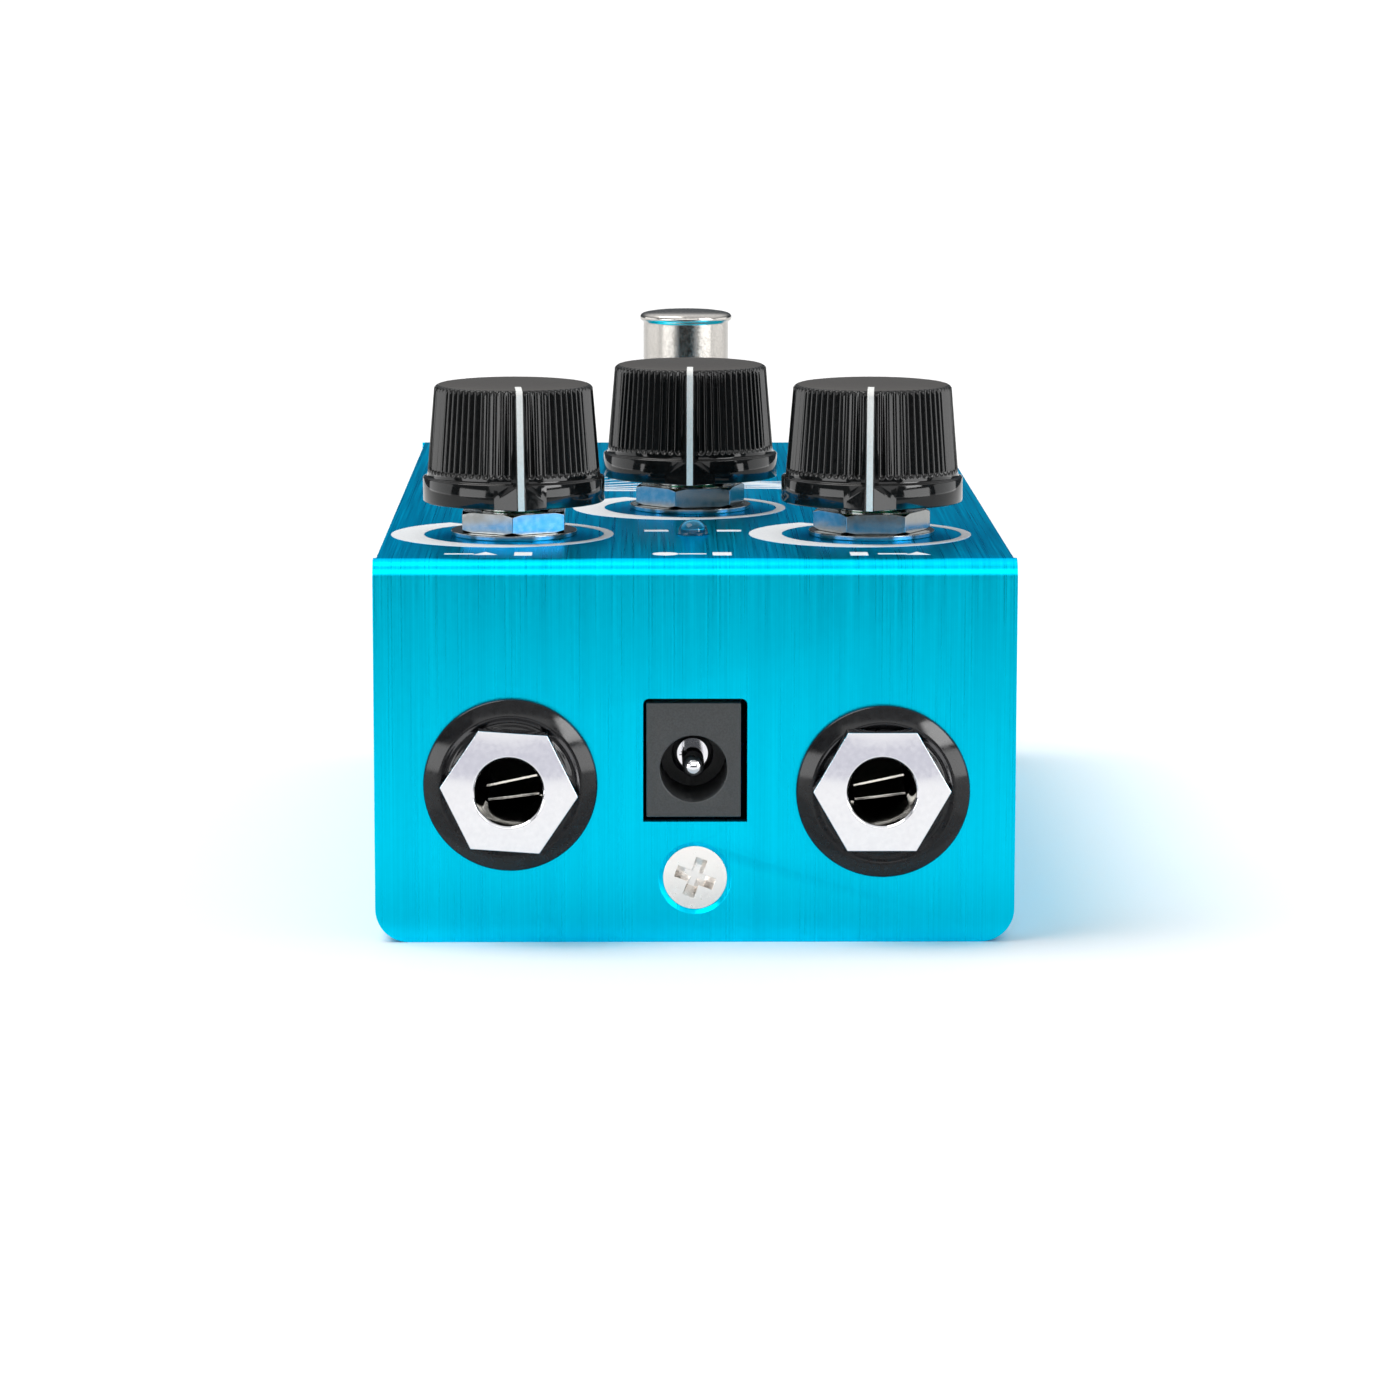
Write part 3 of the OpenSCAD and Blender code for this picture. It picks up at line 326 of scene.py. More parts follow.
# %% One recipe for all the finishes
def grained(name, dark, light, rough, grain, bump, metal=0.0, stretch=(1, 1, 1), **fixed):
    """rough is (least, most), grain the noise's size in mm, and bump its height in mm."""
    material = bpy.data.materials.new(name)
    material.use_nodes = True
    nodes = material.node_tree.nodes
    links = material.node_tree.links
    shader = nodes["Principled BSDF"]
    shader.inputs["Metallic"].default_value = metal
    for socket, value in fixed.items():
        shader.inputs[socket.replace("_", " ")].default_value = value
    place = nodes.new("ShaderNodeTexCoord")
    layout = nodes.new("ShaderNodeMapping")
    layout.inputs["Scale"].default_value = [s / (grain * MM) for s in stretch]
    noise = nodes.new("ShaderNodeTexNoise")
    noise.inputs["Scale"].default_value = 1
    noise.inputs["Detail"].default_value = 3
    tint = nodes.new("ShaderNodeValToRGB")
    tint.color_ramp.elements[0].position = 0.3
    tint.color_ramp.elements[1].position = 0.7
    tint.color_ramp.elements[0].color = (*dark, 1)
    tint.color_ramp.elements[1].color = (*light, 1)
    gloss = nodes.new("ShaderNodeMapRange")
    gloss.inputs["From Min"].default_value = 0.3
    gloss.inputs["From Max"].default_value = 0.7
    gloss.inputs["To Min"].default_value = rough[0]
    gloss.inputs["To Max"].default_value = rough[1]
    relief = nodes.new("ShaderNodeBump")
    relief.inputs["Strength"].default_value = 1
    relief.inputs["Distance"].default_value = bump * MM
    links.new(place.outputs["Object"], layout.inputs["Vector"])
    links.new(layout.outputs["Vector"], noise.inputs["Vector"])
    links.new(noise.outputs["Fac"], tint.inputs["Fac"])
    links.new(noise.outputs["Fac"], gloss.inputs["Value"])
    links.new(noise.outputs["Fac"], relief.inputs["Height"])
    links.new(tint.outputs["Color"], shader.inputs["Base Color"])
    links.new(gloss.outputs["Result"], shader.inputs["Roughness"])
    links.new(relief.outputs["Normal"], shader.inputs["Normal"])
    return material

# %% [markdown]
# ## Brushed and dyed aluminium
# The sheet is brushed with an abrasive belt before it is anodised, which leaves hairline scratches,
# and the dye then turns the metal teal. The hairlines run along the strip that the sheet was cut
# from, so on the cover they go from front to back over the top and straight down both ends. One
# noise is very long in Y and Z and very fine in X, and gives both. On the tray the long direction is
# Y only, because its sides are bent up about lines along Y. A second, wider noise makes the faint
# broad bands that a worn belt leaves. Seen edge on, plain metal turns white, but here the light has
# to cross a long way of dye, so the specular tint of the shader is set to a deep blue.

# %% Teal case metal
TEAL_DARK = (0.0, 0.52, 0.76)
TEAL_LIGHT = (0.0, 0.66, 0.92)
EDGE_ON_TINT = (0.0, 0.50, 1.0, 1)


def brushed_teal(name, stretch):
    material = grained(name, TEAL_DARK, TEAL_LIGHT, (0.26, 0.36), 0.16, 0.0006, 1.0, stretch,
                       Specular_Tint=EDGE_ON_TINT)
    nodes = material.node_tree.nodes
    links = material.node_tree.links
    place = nodes["Texture Coordinate"]
    fine = nodes["Noise Texture"]
    fine.inputs["Detail"].default_value = 5
    band_layout = nodes.new("ShaderNodeMapping")
    band_layout.inputs["Scale"].default_value = [s / (2.6 * MM) for s in stretch]
    bands = nodes.new("ShaderNodeTexNoise")
    bands.inputs["Scale"].default_value = 1
    bands.inputs["Detail"].default_value = 2
    both = nodes.new("ShaderNodeMix")
    both.inputs["Factor"].default_value = 0.35
    links.new(place.outputs["Object"], band_layout.inputs["Vector"])
    links.new(band_layout.outputs["Vector"], bands.inputs["Vector"])
    links.new(fine.outputs["Fac"], both.inputs["A"])
    links.new(bands.outputs["Fac"], both.inputs["B"])
    links.new(both.outputs["Result"], nodes["Color Ramp"].inputs["Fac"])
    return material


cover_metal = brushed_teal("cover_metal", (1, 0.006, 0.006))
tray_metal = brushed_teal("tray_metal", (1, 0.006, 1))

# %% [markdown]
# ## The other finishes
# Each slot of the record gets a finish of its own. Plated parts are pure metal with hardly any
# grain. Moulded parts are dark and a little uneven. Sleeves and boards are glossier than the
# phenolic plates, which are matt and mottled.

# %% Metals
chrome = grained("bright_chrome", (0.72, 0.72, 0.745), (0.78, 0.78, 0.80), (0.04, 0.09), 0.5, 0.0002, 1.0)
nickel = grained("satin_nickel", (0.40, 0.38, 0.355), (0.49, 0.47, 0.44), (0.15, 0.25), 0.25, 0.0006, 1.0)
zinc = grained("zinc_plate", (0.24, 0.25, 0.245), (0.30, 0.31, 0.305), (0.12, 0.20), 0.6, 0.0004, 1.0)
screw_steel = grained("screw_steel", (0.84, 0.81, 0.78), (0.93, 0.90, 0.87), (0.16, 0.28),
                      0.3, 0.0015, 1.0)
contact = grained("contact_metal", (0.80, 0.76, 0.66), (0.90, 0.87, 0.78), (0.12, 0.22), 0.4, 0.001, 1.0)
tinned = grained("tinned_wire", (0.62, 0.62, 0.63), (0.76, 0.76, 0.77), (0.25, 0.4), 0.5, 0.004, 1.0)
spring_steel = grained("spring_steel", (0.42, 0.42, 0.43), (0.56, 0.56, 0.57), (0.22, 0.34),
                       0.2, 0.002, 1.0)
shaft_metal = grained("shaft_metal", (0.56, 0.56, 0.55), (0.70, 0.70, 0.69), (0.2, 0.3), 0.15, 0.002, 1.0,
                      (1, 1, 8))
brass = grained("insert_brass", (0.62, 0.44, 0.16), (0.76, 0.56, 0.24), (0.2, 0.34), 0.3, 0.003, 1.0)
screw_black = grained("screw_black", (0.03, 0.03, 0.032), (0.06, 0.06, 0.065), (0.3, 0.45), 0.3, 0.003, 0.8)

# %% Plastics, paints and boards
washer_black = grained("washer_black", (0.006, 0.006, 0.007), (0.012, 0.012, 0.013), (0.10, 0.16),
                       0.6, 0.0008, Specular_IOR_Level=0.3)
knob_gloss = grained("knob_gloss", (0.004, 0.004, 0.004), (0.008, 0.008, 0.008), (0.05, 0.11),
                     0.35, 0.0006, Specular_IOR_Level=0.3)
knob_satin = grained("knob_satin", (0.018, 0.015, 0.012), (0.034, 0.029, 0.024), (0.40, 0.52), 0.12, 0.004)
line_white = grained("line_white", (0.80, 0.82, 0.80), (0.90, 0.91, 0.90), (0.4, 0.5), 0.2, 0.003)
ink_white = grained("ink_white", (0.76, 0.80, 0.83), (0.88, 0.90, 0.92), (0.45, 0.6), 0.25, 0.003)
inlet_plastic = grained("inlet_plastic", (0.040, 0.044, 0.046), (0.062, 0.067, 0.070), (0.38, 0.52),
                        0.15, 0.006)
jack_plastic = grained("jack_plastic", (0.010, 0.010, 0.011), (0.022, 0.022, 0.024), (0.35, 0.5),
                       0.4, 0.006)
chip_black = grained("chip_black", (0.012, 0.012, 0.013), (0.03, 0.03, 0.032), (0.5, 0.65), 0.12, 0.008)
sleeve = grained("capacitor_sleeve", (0.010, 0.012, 0.03), (0.02, 0.024, 0.05), (0.15, 0.28), 0.8, 0.003)
film_red = grained("film_red", (0.36, 0.04, 0.025), (0.50, 0.07, 0.04), (0.2, 0.35), 0.8, 0.01)
resistor_blue = grained("resistor_blue", (0.10, 0.28, 0.42), (0.16, 0.38, 0.52), (0.25, 0.4), 0.5, 0.006)
board_green = grained("board_green", (0.008, 0.10, 0.045), (0.018, 0.16, 0.07), (0.18, 0.34), 1.6, 0.02)
ribbon_grey = grained("ribbon_grey", (0.40, 0.41, 0.43), (0.58, 0.59, 0.61), (0.4, 0.5), 0.9, 0.05, 0.0,
                      (1, 0.02, 0.02))
phenolic = grained("phenolic_brown", (0.16, 0.08, 0.03), (0.27, 0.15, 0.06), (0.5, 0.7), 0.5, 0.012)
ivory = grained("rotor_ivory", (0.66, 0.62, 0.50), (0.76, 0.72, 0.60), (0.35, 0.45), 0.6, 0.003)
housing_blue = grained("housing_blue", (0.010, 0.045, 0.22), (0.02, 0.075, 0.32), (0.3, 0.42), 0.5, 0.006)

# %% [markdown]
# A clear epoxy lamp is mostly transmission: light bends in, crosses the lens and comes out again.
# A slight roughness keeps it from vanishing, and its blue-green base colour is a painted reflection,
# taken from the teal metal round it. Its noise is very weak, because cast epoxy is nearly even.

# %% Clear epoxy
# The blue-green base colour is a painted reflection of the teal metal round the lamp
lens_clear = grained("lens_clear", (0.10, 0.50, 0.66), (0.16, 0.58, 0.74), (0.01, 0.04), 1.2, 0.0003,
                     Transmission_Weight=0.92, IOR=1.3)

# %% [markdown]
# ## Dress every CAD node
# The CAD nodes keep their meshes, and only the material in each slot is exchanged. A dictionary from
# the record's slot names to the finishes means that no node is forgotten, and the print shows how
# many were dressed.

# %% Finishes by slot
FINISH = {
    "case_metal": cover_metal, "zinc_plate": zinc, "screw_steel": screw_steel, "jack_plastic": jack_plastic,
    "ferrule_chrome": chrome, "washer_black": washer_black, "contact_metal": contact,
    "inlet_plastic": inlet_plastic, "lens_clear": lens_clear, "tinned_wire": tinned,
    "board_green": board_green, "chip_black": chip_black, "capacitor_sleeve": sleeve,
    "film_red": film_red, "resistor_blue": resistor_blue, "ribbon_grey": ribbon_grey,
    "phenolic_brown": phenolic, "button_nickel": nickel, "rotor_ivory": ivory,
    "spring_steel": spring_steel, "housing_blue": housing_blue, "shaft_metal": shaft_metal,
    "knob_black": knob_gloss, "insert_brass": brass, "line_white": line_white, "screw_black": screw_black,
}

for node in frame["nodes"].values():
    for place in node.material_slots:
        place.material = FINISH[place.material.name.split(".")[0]]
print("dressed nodes:", len(frame["nodes"]))

# %% [markdown]
# ## Turning, placing and finishing a mesh
# Most of the new pieces are round, and a lathe makes round things from an outline. `turned` draws
# the outline as a chain of edges beside the Z axis and spins it once round, merging the seam and
# the points on the axis, and then points the faces outwards. `as_piece` turns the finished bmesh
# into an object that rides on a CAD body. Its edges that are sharper than a given angle stay sharp
# in the shading.

# %% Helpers for round pieces
def turned(outline, steps=96, closed=True):
    shape = bmesh.new()
    points = [shape.verts.new((r * MM, 0, z * MM)) for r, z in outline]
    chain = [shape.edges.new(pair) for pair in zip(points, points[1:])]
    if closed:
        chain.append(shape.edges.new((points[-1], points[0])))
    bmesh.ops.spin(shape, geom=points + chain, cent=(0, 0, 0), axis=(0, 0, 1), dvec=(0, 0, 0),
                   angle=math.tau, steps=steps, use_merge=True)
    bmesh.ops.remove_doubles(shape, verts=shape.verts, dist=1e-7)
    bmesh.ops.dissolve_degenerate(shape, dist=1e-8, edges=shape.edges)
    bmesh.ops.recalc_face_normals(shape, faces=shape.faces)
    return shape


def moved(shape, place=(0, 0, 0), turn=0.0, lean=0.0):
    """Leans the shape about X, turns it about Z, both in degrees, and then shifts it."""
    bmesh.ops.rotate(shape, verts=shape.verts, matrix=Matrix.Rotation(math.radians(lean), 3, "X"))
    bmesh.ops.rotate(shape, verts=shape.verts, matrix=Matrix.Rotation(math.radians(turn), 3, "Z"))
    bmesh.ops.translate(shape, verts=shape.verts, vec=place)
    return shape


def joined(shapes):
    """One bmesh from several, which are freed."""
    whole = bmesh.new()
    for shape in shapes:
        carrier = bpy.data.meshes.new("carrier")
        shape.to_mesh(carrier)
        shape.free()
        whole.from_mesh(carrier)
        bpy.data.meshes.remove(carrier)
    return whole


def as_piece(shape, name, finishes, body, stands_for=(), crease=32):
    mesh = bpy.data.meshes.new(name)
    shape.to_mesh(mesh)
    shape.free()
    for finish in finishes:
        mesh.materials.append(finish)
    mesh.shade_smooth()
    mesh.set_sharp_from_angle(angle=math.radians(crease))
    piece = bpy.data.objects.new(name, mesh)
    bpy.context.scene.collection.objects.link(piece)
    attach(piece, body)
    if stands_for:
        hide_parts(*stands_for)
    print(name, "faces:", len(mesh.polygons))
    return piece


def evenly_shaded(piece):
    """Lets the big faces set the normals, so that narrow rounds beside them don't bulge them."""
    even = piece.modifiers.new("even_shading", "WEIGHTED_NORMAL")
    even.keep_sharp = True
    return piece


def round_edges(piece, width, segments=2, angle=30):
    """A Bevel modifier on every edge sharper than the angle, because no real edge is a knife's."""
    bevel = piece.modifiers.new("round_edges", "BEVEL")
    bevel.width = width * MM
    bevel.segments = segments
    bevel.profile = 0.5
    bevel.limit_method = "ANGLE"
    bevel.angle_limit = math.radians(angle)
    bevel.harden_normals = True
    return piece

# %% [markdown]
# ## The folded case
# The cover and the tray are already exact in CAD, with their bends, holes and countersinks. What
# they lack is the tiny round that deburring leaves on a cut edge, which catches a thin line of
# light. A CAD node's mesh is loose triangles, so `softened` works on a copy: it merges the doubles,
# dissolves the flat triangles into whole faces and rounds the sharp edges with a Bevel modifier.

# %% A softened copy of a CAD node
def softened(node, name, finish, width, segments=2, crease=24, body="enclosure"):
    source = frame["nodes"][node]
    slot = source.data.materials[0].name
    slot = next(key for key, value in FINISH.items() if value.name == slot)
    shape = bmesh.new()
    shape.from_mesh(source.data)
    bmesh.ops.remove_doubles(shape, verts=shape.verts, dist=2e-6)
    bmesh.ops.dissolve_limit(shape, angle_limit=math.radians(0.4), use_dissolve_boundaries=False,
                             verts=shape.verts, edges=shape.edges, delimit=set())
    piece = as_piece(shape, name, [finish], body, [node], crease)
    return round_edges(piece, width, segments, crease)


softened("top_cover", "case_cover", cover_metal, 0.12)
softened("base_tray", "case_tray", tray_metal, 0.15)

# %% [markdown]
# ## Flush screws
# A countersunk screw is turned from bar and its cross is punched with a tapered tool, so the recess
# narrows as it goes in. The blank comes off the lathe, and two tapered bars, cubes whose inner ends
# are scaled down, are cut out of it with a Boolean that is applied at once. One screw faces the
# rear, and its twin, turned half round, the front.

# %% Case screws
SCREW_HEAD_R = 3.15
SCREW_SHANK_R = 1.5
SCREW_LEN = 8
CROSS_SPAN = 3.9
CROSS_ARM = 1.15
CROSS_DEPTH = 1.5
CROSS_TURN = 20


def applied(shape, cutters, operation="DIFFERENCE"):
    """Cuts the cutters out of the shape, or welds them to it, and gives back a bmesh."""
    carrier = bpy.data.objects.new("carrier", bpy.data.meshes.new("carrier"))
    shape.to_mesh(carrier.data)
    shape.free()
    bpy.context.scene.collection.objects.link(carrier)
    tools = []
    for cutter in cutters:
        tool = bpy.data.objects.new("tool", bpy.data.meshes.new("tool"))
        cutter.to_mesh(tool.data)
        cutter.free()
        bpy.context.scene.collection.objects.link(tool)
        tools.append(tool)
        step = carrier.modifiers.new("step", "BOOLEAN")
        step.operation = operation
        step.solver = "EXACT"
        step.object = tool
    graph = bpy.context.evaluated_depsgraph_get()
    result = bmesh.new()
    result.from_object(carrier, graph)
    for thing in [carrier, *tools]:
        bpy.data.objects.remove(thing)
    bmesh.ops.remove_doubles(result, verts=result.verts, dist=1e-7)
    return result


def tapered_bar(span, arm, depth, turn):
    bar = bmesh.new()
    bmesh.ops.create_cube(bar, size=1)
    bmesh.ops.scale(bar, vec=(span * MM, arm * MM, depth * MM), verts=bar.verts)
    inner = [v for v in bar.verts if v.co.z < 0]
    bmesh.ops.scale(bar, vec=(0.55, 0.5, 1), verts=inner)
    bmesh.ops.translate(bar, vec=(0, 0, -depth / 2 * MM + 0.02 * MM), verts=bar.verts)
    bmesh.ops.rotate(bar, verts=bar.verts, matrix=Matrix.Rotation(math.radians(turn), 3, "Z"))
    return bar


def countersunk_screw():
    """A screw along -Z with the face of its head at the origin."""
    cone = SCREW_HEAD_R - SCREW_SHANK_R
    outline = [
        (0, 0), (SCREW_HEAD_R - 0.12, 0), (SCREW_HEAD_R, -0.12), (SCREW_SHANK_R, -cone),
        (SCREW_SHANK_R, -SCREW_LEN + 0.4), (SCREW_SHANK_R - 0.4, -SCREW_LEN), (0, -SCREW_LEN),
    ]
    blank = turned(outline, 64, closed=False)
    bars = [tapered_bar(CROSS_SPAN, CROSS_ARM, CROSS_DEPTH, arm) for arm in (0, 90)]
    return applied(blank, bars)


screw_low, screw_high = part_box("case_screws")
screw_z = (screw_low.z + screw_high.z) / 2
rear_screw = moved(countersunk_screw(), turn=-CROSS_TURN)
rear_screw = moved(rear_screw, (0, screw_low.y, screw_z), lean=90)
front_screw = moved(countersunk_screw(), turn=-CROSS_TURN)
front_screw = moved(front_screw, (0, screw_high.y, screw_z), turn=180, lean=90)
screws = as_piece(joined([rear_screw, front_screw]), "flush_screws", [screw_steel], "enclosure",
                  ["case_screws"])
round_edges(screws, 0.05)

# %% [markdown]
# ## Ferrules of the jacks
# Each jack is held by a bright hexagonal ferrule. The real one starts as hexagonal bar: the lathe
# faces its end, which leaves a slight cone, bores it and turns the tube. Here the order is turned
# round, which is simpler to model. `turned` makes a round blank with the cone, the bore and the
# tube, and six cuts with bisect_plane mill the flats. The slight cone matters: it makes the upper
# half of the face mirror another part of the room than the lower half does.

# %% Ferrules
HEX_AF = 11.3
HEX_LEN = 2.55
BORE_R = 3.225
TUBE_R = 4.205
TUBE_LEN = 5.45
FACE_FALL = 0.05
REAR_WAYS = {"input": 4, "output": 0}


def ferrule_shape(turn):
    rim = HEX_AF / 2 / math.cos(math.radians(30)) + 0.4
    outline = [
        (BORE_R, -TUBE_LEN), (TUBE_R, -TUBE_LEN), (TUBE_R, 0), (rim, 0), (rim, HEX_LEN - FACE_FALL),
        (BORE_R + 0.2, HEX_LEN), (BORE_R, HEX_LEN - 0.2),
    ]
    blank = turned(outline, 120)
    for flat in range(6):
        angle = math.radians(30 + 60 * flat)
        away = Vector((math.cos(angle), math.sin(angle), 0))
        cut = bmesh.ops.bisect_plane(blank, geom=blank.verts[:] + blank.edges[:] + blank.faces[:],
                                     dist=1e-7, plane_co=away * HEX_AF / 2 * MM, plane_no=away,
                                     clear_outer=True)
        edges = [e for e in cut["geom_cut"] if isinstance(e, bmesh.types.BMEdge)]
        bmesh.ops.edgenet_fill(blank, edges=edges)
    bmesh.ops.recalc_face_normals(blank, faces=blank.faces)
    return moved(blank, turn=-turn)


for way, turn in REAR_WAYS.items():
    node = way + "_ferrule"
    low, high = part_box(node)
    base = Vector(((low.x + high.x) / 2, low.y + HEX_LEN * MM, (low.z + high.z) / 2))
    shape = moved(ferrule_shape(turn), base, lean=90)
    piece = as_piece(shape, way + "_hex_ferrule", [chrome], "enclosure", [node], 28)
    round_edges(piece, 0.07, 2, 35)

# %% [markdown]
# ## Black washers under the ferrules
# These are moulded rings with a wide sloping rim and a shallow dish round the hexagon. They are the
# glossiest black on the rear end, so the rim needs a true round where it turns over, or the lamps'
# reflections would break. They are turned from one outline, and each sits where its CAD twin does:
# they are loose on their tubes, and one of them hangs lower than the other.

# %% Washers
WASHER_R = 8.275
WASHER_T = 1.45
washer_outline = [
    (4.985, 0), (8.2, 0), (WASHER_R, 0.08), (WASHER_R, 0.36), (8.23, 0.46), (8.1, 0.6),
    (6.95, 1.34), (6.82, 1.40), (6.7, 1.40), (6.5, 1.28), (6.3, 1.16), (6.05, 1.16), (5.85, 1.3),
    (5.72, WASHER_T), (4.985, WASHER_T),
]
washer_low, washer_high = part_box("jack_flange_washers")
washer_y = washer_high.y
washer_places = {
    "input": Vector((washer_low.x + WASHER_R * MM, washer_y, washer_high.z - WASHER_R * MM)),
    "output": Vector((washer_high.x - WASHER_R * MM, washer_y, washer_low.z + WASHER_R * MM)),
}
rings = [moved(turned(washer_outline, 144), place, lean=90) for place in washer_places.values()]
flange_washers = as_piece(joined(rings), "flange_washers", [washer_black], "enclosure",
                          ["jack_flange_washers"], 50)
evenly_shaded(flange_washers)

# %% [markdown]
# ## Inside the jacks and the power inlet
# The contact springs, the inlet's body and its pin have the right shapes in CAD. They get the same
# soft edges as the case, a little finer, so that the springs show as two thin bright strips in the
# dark bore and the inlet's face gets a faint light edge.

# %% Softened jack and inlet parts
softened("jack_tip_springs", "tip_springs", contact, 0.05, 2)
softened("jack_sleeve_springs", "sleeve_springs", contact, 0.05, 2)
softened("inlet_body", "inlet_moulding", inlet_plastic, 0.12, 2)
softened("inlet_pin", "inlet_centre_pin", chrome, 0.04, 2)

# %% [markdown]
# ## Knobs
# Each knob is one moulding: a skirt, a tapering body with fine flutes for the fingers, and a pointer
# that runs down the front and out past the skirt. The body is turned from an outline with many
# points round it, eight to a flute. A flute is then made as a ball-ended cutter would make it: a
# point that lies inside the cutter's path is pulled in towards the axis, most in the middle of the
# flute, and the path stops just above the skirt in a round end. No flutes are cut near the pointer.

# %% The fluted body
FLUTES = 70
STEPS_A_FLUTE = 8
FLUTE_DEPTH = 0.25
FLUTE_SHARE = 0.43
FLUTE_END = 3.35
PLAIN_HALF = 6.5
RIM_R = 7.775
LOW_R = 8.5
SKIRT_R = 8.915
SKIRT_H = 2.45
RIM_Z = 11.12
HUB_R = 4.52


def wall_r(z):
    """Radius of the tapering wall at a height above the knob's underside."""
    return LOW_R + (RIM_R - LOW_R) * (z - SKIRT_H) / (RIM_Z - SKIRT_H)


def knob_outline():
    top = [(0, 11.8), (2.5, 11.78), (5.0, 11.72), (6.4, 11.62), (7.1, 11.53), (7.42, 11.44), (7.62, 11.32)]
    heights = [RIM_Z, 10.9, 10.4, 9.0, 7.5, 6.0, 4.8, 4.0, 3.6, 3.42, 3.3, 3.2, 3.1, 3.0, 2.92, 2.84, 2.7]
    wall = [(wall_r(z), z) for z in heights]
    skirt = [
        (LOW_R + 0.02, 2.52), (8.58, 2.46), (8.74, 2.44), (8.85, 2.40), (SKIRT_R, 2.31),
        (SKIRT_R, 0.14), (8.87, 0.04), (8.8, 0), (6.75, 0), (6.7, 0.05), (6.7, 1.5), (HUB_R, 1.5),
        (HUB_R, 9.7), (0, 9.7),
    ]
    return top + wall + skirt


def cut_flutes(shape):
    pitch = 360 / FLUTES
    for point in shape.verts:
        z = point.co.z / MM
        r = point.co.xy.length / MM
        if not 2.6 < z < 11.6 or r < 7:
            continue
        off_pointer = (math.degrees(math.atan2(point.co.x, -point.co.y)) + 180) % 360 - 180
        flute = math.floor(off_pointer / pitch)
        if abs((flute + 0.5) * pitch) < PLAIN_HALF:
            continue
        across = (off_pointer / pitch - flute - 0.5) / FLUTE_SHARE
        along = min(0, z - FLUTE_END) / 0.42
        depth = FLUTE_DEPTH * max(0, 1 - across ** 2 - along ** 2)
        wanted = min(r, wall_r(z) - depth)
        point.co.xy *= wanted / r
    return shape


# %% [markdown]
# The pointer is a narrow rib with sloping flanks, and at the skirt it spreads into a pointed foot.
# Both are easiest as a few corner points wrapped in a convex hull. Their long edges are then
# rounded with bmesh's bevel, which wants its affect, segments, profile and material spelled out.

# %% The pointer
def wrapped(corners, round_by):
    """A hull round corners given on one side only, mirrored in X, with its edges rounded."""
    shape = bmesh.new()
    for x, y, z in corners:
        for side in (-1, 1):
            shape.verts.new((side * x * MM, y * MM, z * MM))
    bmesh.ops.convex_hull(shape, input=shape.verts)
    bmesh.ops.dissolve_limit(shape, angle_limit=math.radians(1), verts=shape.verts, edges=shape.edges)
    bmesh.ops.recalc_face_normals(shape, faces=shape.faces)
    bmesh.ops.bevel(shape, geom=shape.edges[:], affect="EDGES", offset=round_by * MM, segments=2,
                    profile=0.5, material=-1, clamp_overlap=True)
    return shape


def pointer_rib():
    return wrapped([
        (0.40, -10.08, 0.0), (0.40, -8.02, 10.88), (0.40, -7.66, 11.36), (0.40, -6.9, 11.46),
        (0.62, -6.9, 10.9), (1.3, -7.2, 3.0), (1.6, -7.2, 0.0),
    ], 0.07)


def pointer_foot():
    return wrapped([
        (0.40, -10.07, 0.02), (0.40, -9.63, 2.3), (3.4, -7.95, 0.02), (1.95, -7.95, 2.3),
    ], 0.07)

# %% [markdown]
# The white line is paint in a shallow groove. It is a strip of faces, pulled sideways from a chain
# of edges that climbs the pointer and runs a little way onto the top, and then given a thickness.

# %% The white line
LINE_W = 0.62
line_path = [(-10.1, 0.03), (-9.0, 5.86), (-8.05, 10.86), (-7.98, 11.02), (-7.66, 11.41),
             (-7.4, 11.49), (-7.0, 11.57), (-6.4, 11.65), (-6.0, 11.69)]


def white_line():
    strip = bmesh.new()
    points = [strip.verts.new((-LINE_W / 2 * MM, y * MM, z * MM)) for y, z in line_path]
    chain = [strip.edges.new(pair) for pair in zip(points, points[1:])]
    pulled = bmesh.ops.extrude_edge_only(strip, edges=chain)["geom"]
    across = [v for v in pulled if isinstance(v, bmesh.types.BMVert)]
    bmesh.ops.translate(strip, verts=across, vec=(LINE_W * MM, 0, 0))
    bmesh.ops.recalc_face_normals(strip, faces=strip.faces)
    if strip.faces[0].normal.y > 0:
        bmesh.ops.reverse_faces(strip, faces=strip.faces)
    bmesh.ops.solidify(strip, geom=strip.faces[:], thickness=0.14 * MM)
    bmesh.ops.recalc_face_normals(strip, faces=strip.faces)
    return strip

# %% [markdown]
# At the back of the skirted body is the hole that the set screw goes in by. It is cut with a
# Boolean, and the same step welds the pointer to the body. The top gets a satin finish and the
# rest a gloss one, by the material number of the faces.

# %% Build the three knobs
def knob_shape():
    body = cut_flutes(turned(knob_outline(), FLUTES * STEPS_A_FLUTE, closed=False))
    body = applied(body, [pointer_rib(), pointer_foot()], "UNION")
    hole = bmesh.new()
    bmesh.ops.create_cone(hole, cap_ends=True, segments=32, radius1=1.7 * MM, radius2=1.7 * MM,
                          depth=6 * MM)
    moved(hole, (0, 7.2 * MM, 5.6 * MM), lean=90)
    body = applied(body, [hole])
    for face in body.faces:
        centre = face.calc_center_median() / MM
        face.material_index = 1 if centre.z > 11.4 and face.normal.z > 0.8 else 0
    return body


blank_knob = knob_shape()
for side in SIDES:
    place = Vector((pot_axis[side].x, pot_axis[side].y, knob_z))
    shape = moved(blank_knob.copy(), place, knob_turn[side])
    knob = as_piece(shape, "fluted_knob_" + side, [knob_gloss, knob_satin], "control_" + side,
                    ["knob_" + side], 38)
    evenly_shaded(knob)
    line = moved(white_line(), place, knob_turn[side])
    as_piece(line, "pointer_line_" + side, [line_white], "control_" + side,
             ["knob_line_" + side], 40)
blank_knob.free()

